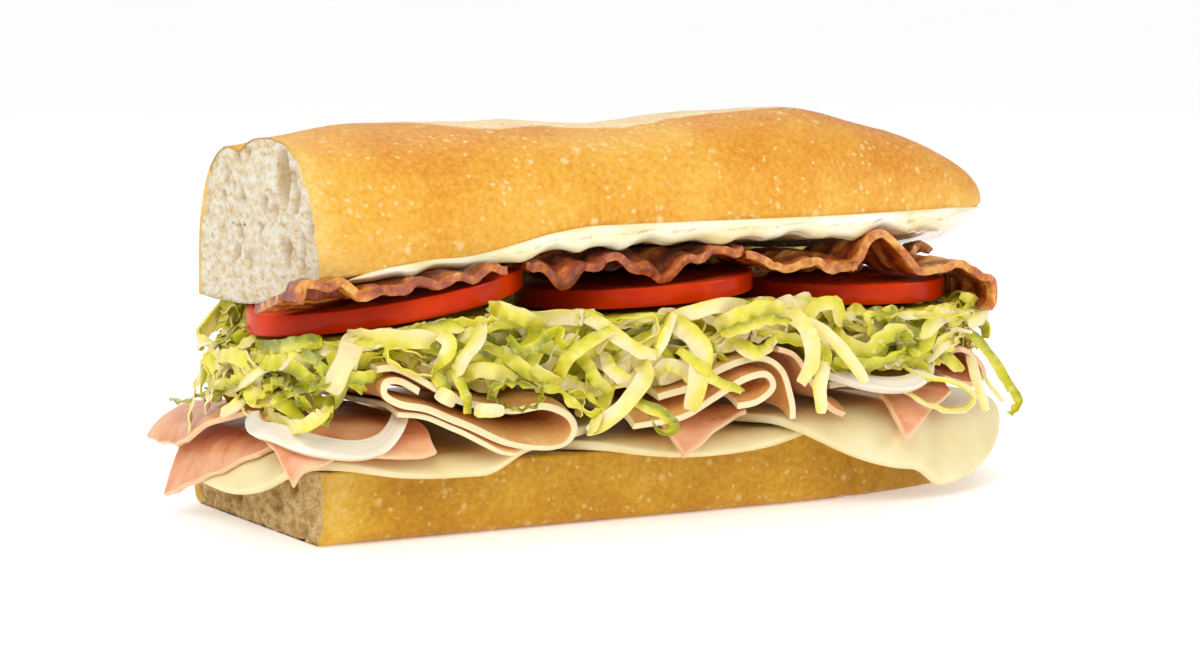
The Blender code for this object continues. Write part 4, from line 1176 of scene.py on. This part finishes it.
shred_heap("lettuce_leaves", pattern, leaves, LEAF_THICKNESS, lettuce)
shred_heap("lettuce_ribs", pattern, ribs, RIB_THICKNESS, lettuce)
bpy.data.objects.remove(pattern)


# --- The tomato -----------------------------------------------------------------------------------
# Three slices of ripe tomato, cut across the fruit. The skin is a taut shiny band, and the flesh on
# both faces is dull.
TOMATO_ROUND_STEPS = 144
TOMATO_RINGS = 9


def tomato_slice(name):
    """A slice: a cylinder with rings on its faces, softened at the rim and dented like flesh."""
    centre, radius, thickness, _, _ = TOMATOES[name]
    bpy.ops.mesh.primitive_cylinder_add(
        vertices=TOMATO_ROUND_STEPS, radius=radius, depth=thickness, end_fill_type="NGON"
    )
    piece = start_piece(name + "_slice")
    bpy.ops.object.mode_set(mode="EDIT")
    bpy.ops.mesh.select_mode(type="FACE")
    bpy.ops.mesh.select_all(action="DESELECT")
    shape = bmesh.from_edit_mesh(piece.data)
    for face in shape.faces:
        face.select_set(abs(face.normal.z) > 0.9)
    bmesh.update_edit_mesh(piece.data)
    for _ in range(TOMATO_RINGS):
        bpy.ops.mesh.inset(thickness=radius * 0.1, use_individual=True)
    select_edges_along(piece, 2, 0.001)
    bpy.ops.mesh.subdivide(number_cuts=5)
    bpy.ops.object.mode_set(mode="OBJECT")
    soften(piece, 0.00022, 60, 3)
    skin = []
    for vertex in piece.data.vertices:
        dx, dy, dz = vertex.co
        reach = math.hypot(dx, dy)
        angle = math.atan2(dy, dx)
        share = reach / radius
        out = 1 + 0.012 * grain((math.cos(angle), math.sin(angle), centre[0]), 0.8, 81)
        if share > 0.97:
            out += 0.00015 / radius * (1 - (2 * dz / thickness) ** 2)
        skin.append(ease((share - 0.975) / 0.015))
        dent = -0.0003 * math.copysign(ease((0.9 - share) / 0.2), dz)
        dent *= 1 + grain((dx, dy, dz), 0.006, 82)
        x, y = centre[0] + dx * out, centre[1] + dy * out
        vertex.co = (x, y, tomato_height(name, x, y) + dz + (dent if share < 0.95 else 0.0))
    mark(piece, "skin", skin)
    return piece


tomato = Finish(
    "ripe tomato", Subsurface_Weight=0.05, Subsurface_Scale=0.003, Subsurface_Radius=(1.0, 0.2, 0.1),
    Coat_Roughness=0.12, Specular_IOR_Level=0.06,
)
clouds, fibres = tomato.mottle(tomato.place, 60, 3), tomato.mottle(tomato.place, 350, 3)
on_skin = tomato.attribute("skin")
skin_colour = tomato.steps(
    clouds, (0.3, (0.53, 0.020, 0.0)), (0.55, (0.64, 0.034, 0.0)), (0.75, (0.76, 0.070, 0.001))
)
flesh_colour = tomato.steps(
    fibres, (0.3, (0.50, 0.03, 0.003)), (0.55, (0.64, 0.07, 0.010)), (0.75, (0.78, 0.18, 0.04))
)
tomato.drive(
    Base_Color=tomato.blend(on_skin, flesh_colour, skin_colour),
    Roughness=tomato.spread(on_skin, 0, 1, 0.55, 0.28), Coat_Weight=tomato.spread(on_skin, 0, 1, 0.0, 0.14),
)
tomato.bump((fibres, 0.10, 0.0003))
for name in TOMATOES:
    finish_piece(tomato_slice(name), tomato, "tomato", name)


# --- The bacon ------------------------------------------------------------------------------------
# Strips of streaky bacon, fried until they buckled. Lean runs along the strip in dark red-brown bands
# between amber fat, and the edges are crisp and ragged.
BACON_THICKNESS = 0.0019
RIPPLE = 0.0092
LOBE_WIDTH = 0.0075
MAYO_REAR_Y = -0.016
THICK_MAYO_X = -0.075


def mayonnaise_thickness(x, back_share):
    """Thick in waves along the front edge of the bread, and thin behind it."""
    swell = ease((x - THICK_MAYO_X) / 0.035) * ease((HEEL_TIP_X - 0.004 - x) / 0.03)
    waves = 0.0006 * math.sin(75 * x * math.tau) + 0.0006 * math.sin(31 * x * math.tau + 1)
    return 0.0010 + (0.0027 + waves) * swell * (1 - back_share) ** 2


def bacon_strip(name, path, front_y, back_y, waves, lobes, seed):
    """A strip whose wavy (x, z) path shows at the front; each (x, drop) lobe hangs down there."""
    half = BACON_THICKNESS / 2 + 1.5 * TOUCH_GAP

    def place(u, v):
        spot = along(path, u)
        front = front_y
        front += 0.0016 * grain((spot.x, 0, seed), 0.005, 91) + 0.0007 * grain((spot.x, 0, seed), 0.002, 92)
        x, y = spot.x, front + (back_y - front) * v
        z = spot.y + waves * math.sin(x / RIPPLE * math.tau + 2.2 * v + seed) * (1 - 0.6 * v)
        z += 0.0008 * grain((x, y, seed), 0.005, 93)
        z -= sum(drop * bell(x - lobe, LOBE_WIDTH) * (1 - v) ** 3 for lobe, drop in lobes)
        bread_front = TOP_CENTRE_Y - TOP_HALF_WIDTH * heel_scale(x)
        if y > bread_front - 0.001:
            back_share = min(max((y - bread_front) / (MAYO_REAR_Y - bread_front), 0.0), 1.0)
            roof = top_bread_underside(x, y) - 1.5 * TOUCH_GAP
            z = min(z, roof - mayonnaise_thickness(x, 0.7 * back_share) - half)
        for slice_name in tomatoes_at(x, y, 0.002):
            z = max(z, tomato_height(slice_name, x, y) + TOMATOES[slice_name][2] / 2 + half)
        return Vector((x, y, z + 0.0005 * grain((x, y, seed), 0.0024, 94)))

    piece = cut_slice(name, 110, 30, place, BACON_THICKNESS, 0.0005)
    run = []
    for vertex in piece.data.vertices:
        share = (vertex.co.y - front_y) / (back_y - front_y)
        run.append(share + 0.10 * grain((vertex.co.x, 0, seed), 0.014, 95))
    mark(piece, "across", run)
    # Darker across the middle of the sandwich: partly leaner bacon, partly painted shade under the top
    # bread.
    mark(piece, "lean_and_shade", [
        ease((v.co.x + 0.088) / 0.01) * ease((0.012 - v.co.x) / 0.01) for v in piece.data.vertices
    ])
    return piece


bacon = Finish(
    "fried bacon", Subsurface_Weight=0.12, Subsurface_Scale=0.002, Subsurface_Radius=(1.0, 0.4, 0.15),
    Coat_Weight=0.55, Coat_Roughness=0.16, Specular_IOR_Level=0.55,
)
bent = bacon.add(
    "CombineXYZ", X=bacon.reckon("MULTIPLY", bacon.attribute("across"), 5.0),
    Y=bacon.reckon("MULTIPLY", bacon.mottle(bacon.place, 110, 3), 3.0),
)
bands = bacon.add("TexNoise", Vector=bent.outputs[0], Scale=1.0, Detail=2).outputs[0]
crisp = bacon.mottle(bacon.place, 330, 5, 0.7)
value = bacon.reckon("ADD", bands, bacon.reckon("MULTIPLY_ADD", crisp, 0.5, -0.25))
# The middle strips are painted darker: partly leaner bacon, partly painted shade.
value = bacon.reckon("MULTIPLY_ADD", bacon.attribute("lean_and_shade"), -0.09, value)
bacon.drive(
    Base_Color=bacon.steps(
        value, (0.28, (0.10, 0.012, 0.002)), (0.42, (0.34, 0.050, 0.007)), (0.51, (0.56, 0.14, 0.012)),
        (0.59, (0.78, 0.34, 0.04)), (0.72, (0.90, 0.58, 0.18)),
    ),
    Roughness=bacon.spread(crisp, 0.3, 0.7, 0.22, 0.50),
)
bacon.bump((bands, 0.6, 0.0014), (crisp, 0.85, 0.0011))
for seed, (name, path, front_y, back_y, waves, lobes) in enumerate((
    ("bacon_left", ((-0.1100, 0.0560), (-0.1085, 0.0592), (-0.1050, 0.0602), (-0.0990, 0.0596),
                    (-0.0930, 0.0572), (-0.0840, 0.0585), (-0.0720, 0.0600), (-0.0580, 0.0618)),
     -0.0440, -0.0200, 0.0007, ()),
    ("bacon_middle", ((-0.0500, 0.0630), (-0.0400, 0.0628), (-0.0250, 0.0626), (-0.0100, 0.0624),
                      (0.0080, 0.0626)), -0.0385, -0.0150, 0.0008, ((-0.0400, 0.0055), (-0.0150, 0.0058))),
    ("bacon_right", ((0.0080, 0.0612), (0.0120, 0.0605), (0.0190, 0.0578), (0.0270, 0.0596),
                     (0.0330, 0.0590), (0.0400, 0.0585)), -0.0395, -0.0150, 0.0003, ((0.0340, 0.0020),)),
    ("bacon_end", ((0.0385, 0.0570), (0.0415, 0.0600), (0.0445, 0.0640), (0.0490, 0.0645),
                   (0.0535, 0.0592), (0.0590, 0.0549), (0.0640, 0.0553), (0.0690, 0.0562),
                   (0.0750, 0.0545), (0.0800, 0.0510), (0.0805, 0.0465), (0.0790, 0.0445)),
     -0.0385, -0.0150, 0.0004, ()),
    ("bacon_inner", ((-0.0400, 0.0570), (-0.0340, 0.0640), (-0.0270, 0.0560), (-0.0200, 0.0630),
                     (-0.0130, 0.0560), (-0.0060, 0.0620), (0.0010, 0.0560), (0.0080, 0.0620),
                     (0.0150, 0.0540), (0.0220, 0.0620), (0.0290, 0.0530), (0.0360, 0.0610),
                     (0.0430, 0.0530), (0.0500, 0.0610), (0.0570, 0.0530), (0.0640, 0.0610),
                     (0.0710, 0.0530), (0.0760, 0.0580), (0.0800, 0.0560)), -0.0115, 0.0170, 0.0012, ()),
)):
    strip = bacon_strip(name + "_strip", path, front_y, back_y, waves, lobes, seed)
    finish_piece(strip, bacon, "bacon", name)


# --- The mayonnaise -------------------------------------------------------------------------------
# Mayonnaise, spread under the top bread with a knife. It squeezes out as a thick glossy wavy lip
# along the front edge.
MAYO_START_X = CUT_END_X + 0.007
MAYO_LENGTH = 0.187
MAYO_REAR = ((0.0500, -0.0160), (0.0780, 0.0040), (0.0985, 0.0020))
spread = divided_block("mayonnaise_spread", ((80, 1), (40,), (7,)))
for vertex in spread.data.vertices:
    along_share, across, up = vertex.co
    x = MAYO_START_X + MAYO_LENGTH * (along_share + 1) / 2
    half = TOP_HALF_WIDTH * heel_scale(x)
    thick_here = 0.55 * ease((x + 0.096) / 0.01) + 0.45 * ease((x + 0.060) / 0.02)
    thick_here *= ease((0.090 - x) / 0.02)
    blob = bell(x + 0.079, 0.0035)
    front = TOP_CENTRE_Y - half - 0.0004
    bulge = 0.0016 + 0.0009 * grain((x, 0, 0), 0.011, 101) + 0.0003 * grain((x, 0, 0), 0.004, 102)
    front -= 0.0010 * blob + thick_here * bulge
    rear = level(MAYO_REAR, x)
    back_share = ((across + 1) / 2) ** 1.6
    y = front + (rear - front) * back_share
    lip = math.sqrt(max(0.0, 1 - (1 - min((y - front) / 0.0020, 1.0)) ** 2))
    top = top_bread_underside(x, y) + 0.0011 * thick_here * ease(1 - (y - front) / 0.004) - 0.0002
    lumps = 1.12 + 0.40 * grain((x, y * 0.6, 0), 0.009, 103) + 0.15 * grain((x, y, 0), 0.0035, 104)
    lip_swell = (0.0014 * thick_here + 0.0016 * blob) * (1 - back_share) ** 1.5
    thick = mayonnaise_thickness(x, back_share) * lumps + lip_swell
    ends = math.sqrt(max(0.0, 1 - max(abs(along_share) - 0.96, 0.0) / 0.04))
    share = (1 - up) / 2 * lip * ends + (1 - lip * ends) * 0.45
    vertex.co = (x, y, top - thick * share)
mayonnaise = Finish(
    "mayonnaise", Subsurface_Weight=0.30, Subsurface_Scale=0.003, Subsurface_Radius=(1.0, 0.9, 0.6),
    Coat_Weight=0.45, Coat_Roughness=0.10,
)
streaks = mayonnaise.mottle(mayonnaise.stretched(mayonnaise.place, (70, 160, 200)), 1, 3)
mayonnaise_tones = (0.32, (0.86, 0.72, 0.34)), (0.50, (0.93, 0.86, 0.58)), (0.66, (0.96, 0.93, 0.76))
mayonnaise.drive(
    Base_Color=mayonnaise.steps(streaks, *mayonnaise_tones),
    Roughness=mayonnaise.spread(streaks, 0.3, 0.7, 0.18, 0.30),
)
mayonnaise.bump((mayonnaise.mottle(mayonnaise.place, 260, 3), 0.25, 0.0005))
finish_piece(spread, mayonnaise, "mayonnaise", "mayonnaise")


# --- The top bread --------------------------------------------------------------------------------
# The upper half of the roll, leaning back on the fillings. Its domed crust was scored along the top
# before baking, and the pale dough shows inside the opened score.
FRONT_ROUNDING = 2.1
BACK_ROUNDING = 3.0
SCORE_Y = 0.0090
SCORE_DEPTH = 0.0022
SCORE_WIDTH = 0.0045
CREST = (
    (-0.1015, 0.0903), (-0.0800, 0.0929), (-0.0410, 0.0930), (-0.0200, 0.0916), (0.0140, 0.0935),
    (0.0340, 0.0940), (0.0600, 0.0925), (0.0985, 0.0910),
)


def top_spot(along_share, across, up):
    """Where a block's point goes: (spot, way out of the crust, whether it is crumb, how dark the crust is).
    """
    x = station((along_share + 1) / 2)
    scale = heel_scale(x)
    power = FRONT_ROUNDING if across < 0 else BACK_ROUNDING
    crest = level(CREST, x) - top_bread_underside(x, TOP_CENTRE_Y)
    side, rise = rounded(across, (up + 1) / 2, TOP_HALF_WIDTH * scale, crest * scale, power)
    y = TOP_CENTRE_Y + side
    z = top_bread_underside(x, y) + rise
    if rise > 0.5 * crest * scale:
        z -= SCORE_DEPTH * scale * bell(y - SCORE_Y, SCORE_WIDTH)
    outward = Vector((0, 0, 0))
    if max(abs(across), up) > BLOCK_FACE:
        outward = Vector((0, side / TOP_HALF_WIDTH, rise / max(crest, 1e-4)))
    elif up < -BLOCK_FACE:
        outward = Vector((0, 0, -1))
    cut = 0.0
    if along_share < -BLOCK_FACE and max(abs(across), up) < 0.972:
        cut = 1.0
    if up < -BLOCK_FACE and abs(across) < 0.975:
        cut = 1.0
    # Darker at the crest and, on its upper side, towards the heel; paler low on the sides and at the cut
    # end.
    low = ease((0.42 - rise / max(crest * scale, 1e-4)) / 0.42)
    tone = 0.40 + 0.24 * ease((x + 0.02) / 0.08) * (1 - low) - 0.03 * low
    tone += 0.12 * ease((rise / max(crest * scale, 1e-4) - 0.70) / 0.28)
    tone -= 0.22 * bell(x - CUT_END_X, 0.004)
    return Vector((x, y, z)), outward, cut, tone


def pale_score(spot):
    """Where pale dough shows: behind the sharp lip of the opened score, fading over the crest."""
    lip = -0.0175 + 0.0028 * grain((spot.x, 0, 0), 0.020, 9) + 0.0008 * grain((spot.x, 0, 0), 0.004, 10)
    lip += 0.012 * (1 - ease((spot.x + 0.085) / 0.045)) + 0.010 * ease((spot.x - 0.025) / 0.025)
    band = ease((spot.y - lip) / 0.0008)
    band *= ease((0.0040 + 0.003 * grain(spot, 0.008, 14) - spot.y) / 0.009)
    ends = ease((spot.x + 0.085) / 0.02) * ease((0.052 - spot.x) / 0.02)
    return band * ends * (0.85 + 0.20 * grain(spot, 0.006, 13)) if spot.z > 0.08 else 0.0


top = divided_block("top_crust", ((74, 1), (96,), (52,)))
top_holes = crumb_holes(loaf_rng, 34, (-0.032, 0.030), (0.053, 0.088)) + [
    (-0.0160, 0.0825, 0.0034, 0.9, 0.62), (0.0077, 0.0766, 0.0016, 0.8, 0.8),
    (-0.0050, 0.0751, 0.0015, 0.9, 0.7), (-0.0026, 0.0692, 0.0017, 0.8, 0.8),
    (-0.0178, 0.0653, 0.0022, 0.9, 0.7), (-0.0268, 0.0676, 0.0014, 0.9, 0.5),
]
bake_bread(top, top_spot, top_holes, pale_score)
finish_piece(top, bread_finish("top crust", GOLD, CRUMB, 0.75, PALE_DOUGH), "crust", "top_bread")


# --- The stage ------------------------------------------------------------------------------------
# A plain white table, soft daylight from all round with a brighter side, and the camera low in front
# of the cut end.
TABLE_SIZE = 24.0
CAMERA_AZIMUTH, CAMERA_ELEVATION = math.radians(-29), math.radians(6.5)
CAMERA_DISTANCE = 0.85
CAMERA_LENS = 104
CAMERA_TARGET = Vector((-0.0098, 0, 0.0406)) + BREAD_PLACE
DAYLIGHT = 0.66
bpy.ops.mesh.primitive_plane_add(size=TABLE_SIZE, location=(0, 0, -0.0002))
floor = start_piece("table")
table = Finish("white table", Roughness=0.5, Emission_Strength=0.35, Emission_Color=(1, 1, 1, 1))
whites = (0.3, (0.93, 0.93, 0.92)), (0.7, (0.96, 0.96, 0.95))
table.drive(Base_Color=table.steps(table.mottle(table.place, 3), *whites))
floor.data.materials.append(table.material)


def direction(azimuth, elevation):
    """The way from the sandwich to a spot that far round from its open front, and that far up."""
    level_share = math.cos(elevation)
    return Vector((math.sin(azimuth) * level_share, -math.cos(azimuth) * level_share, math.sin(elevation)))


back = direction(CAMERA_AZIMUTH, CAMERA_ELEVATION)
lens = bpy.data.cameras.new("camera")
lens.lens = CAMERA_LENS
camera = bpy.data.objects.new("camera", lens)
camera.location = CAMERA_TARGET + back * CAMERA_DISTANCE
camera.rotation_euler = back.to_track_quat("Z", "Y").to_euler()
bpy.context.scene.collection.objects.link(camera)
bpy.context.scene.camera = camera


def soft_light(name, azimuth, elevation, distance, size, power, tint=(1, 1, 1)):
    """A square soft box that faces the sandwich."""
    lamp = bpy.data.lights.new(name, "AREA")
    lamp.size = size
    lamp.energy = power
    lamp.color = tint
    holder = bpy.data.objects.new(name, lamp)
    away = direction(math.radians(azimuth), math.radians(elevation))
    holder.location = CAMERA_TARGET + away * distance
    holder.rotation_euler = away.to_track_quat("Z", "Y").to_euler()
    bpy.context.scene.collection.objects.link(holder)


soft_light("key", -42, 42, 1.1, 0.6, 4.3, (1.0, 0.96, 0.90))
soft_light("right card", 58, 18, 1.0, 0.35, 1.6)
soft_light("left card", -85, 25, 1.0, 0.5, 1.3, (1.0, 0.95, 0.86))
soft_light("back light", 150, 50, 1.2, 0.8, 2.0)
sky = bpy.data.worlds.new("daylight")
sky.use_nodes = True
sky.node_tree.nodes["Background"].inputs["Color"].default_value = (1, 1, 1, 1)
sky.node_tree.nodes["Background"].inputs["Strength"].default_value = DAYLIGHT
bpy.context.scene.world = sky
bpy.context.scene.view_settings.view_transform = "Standard"
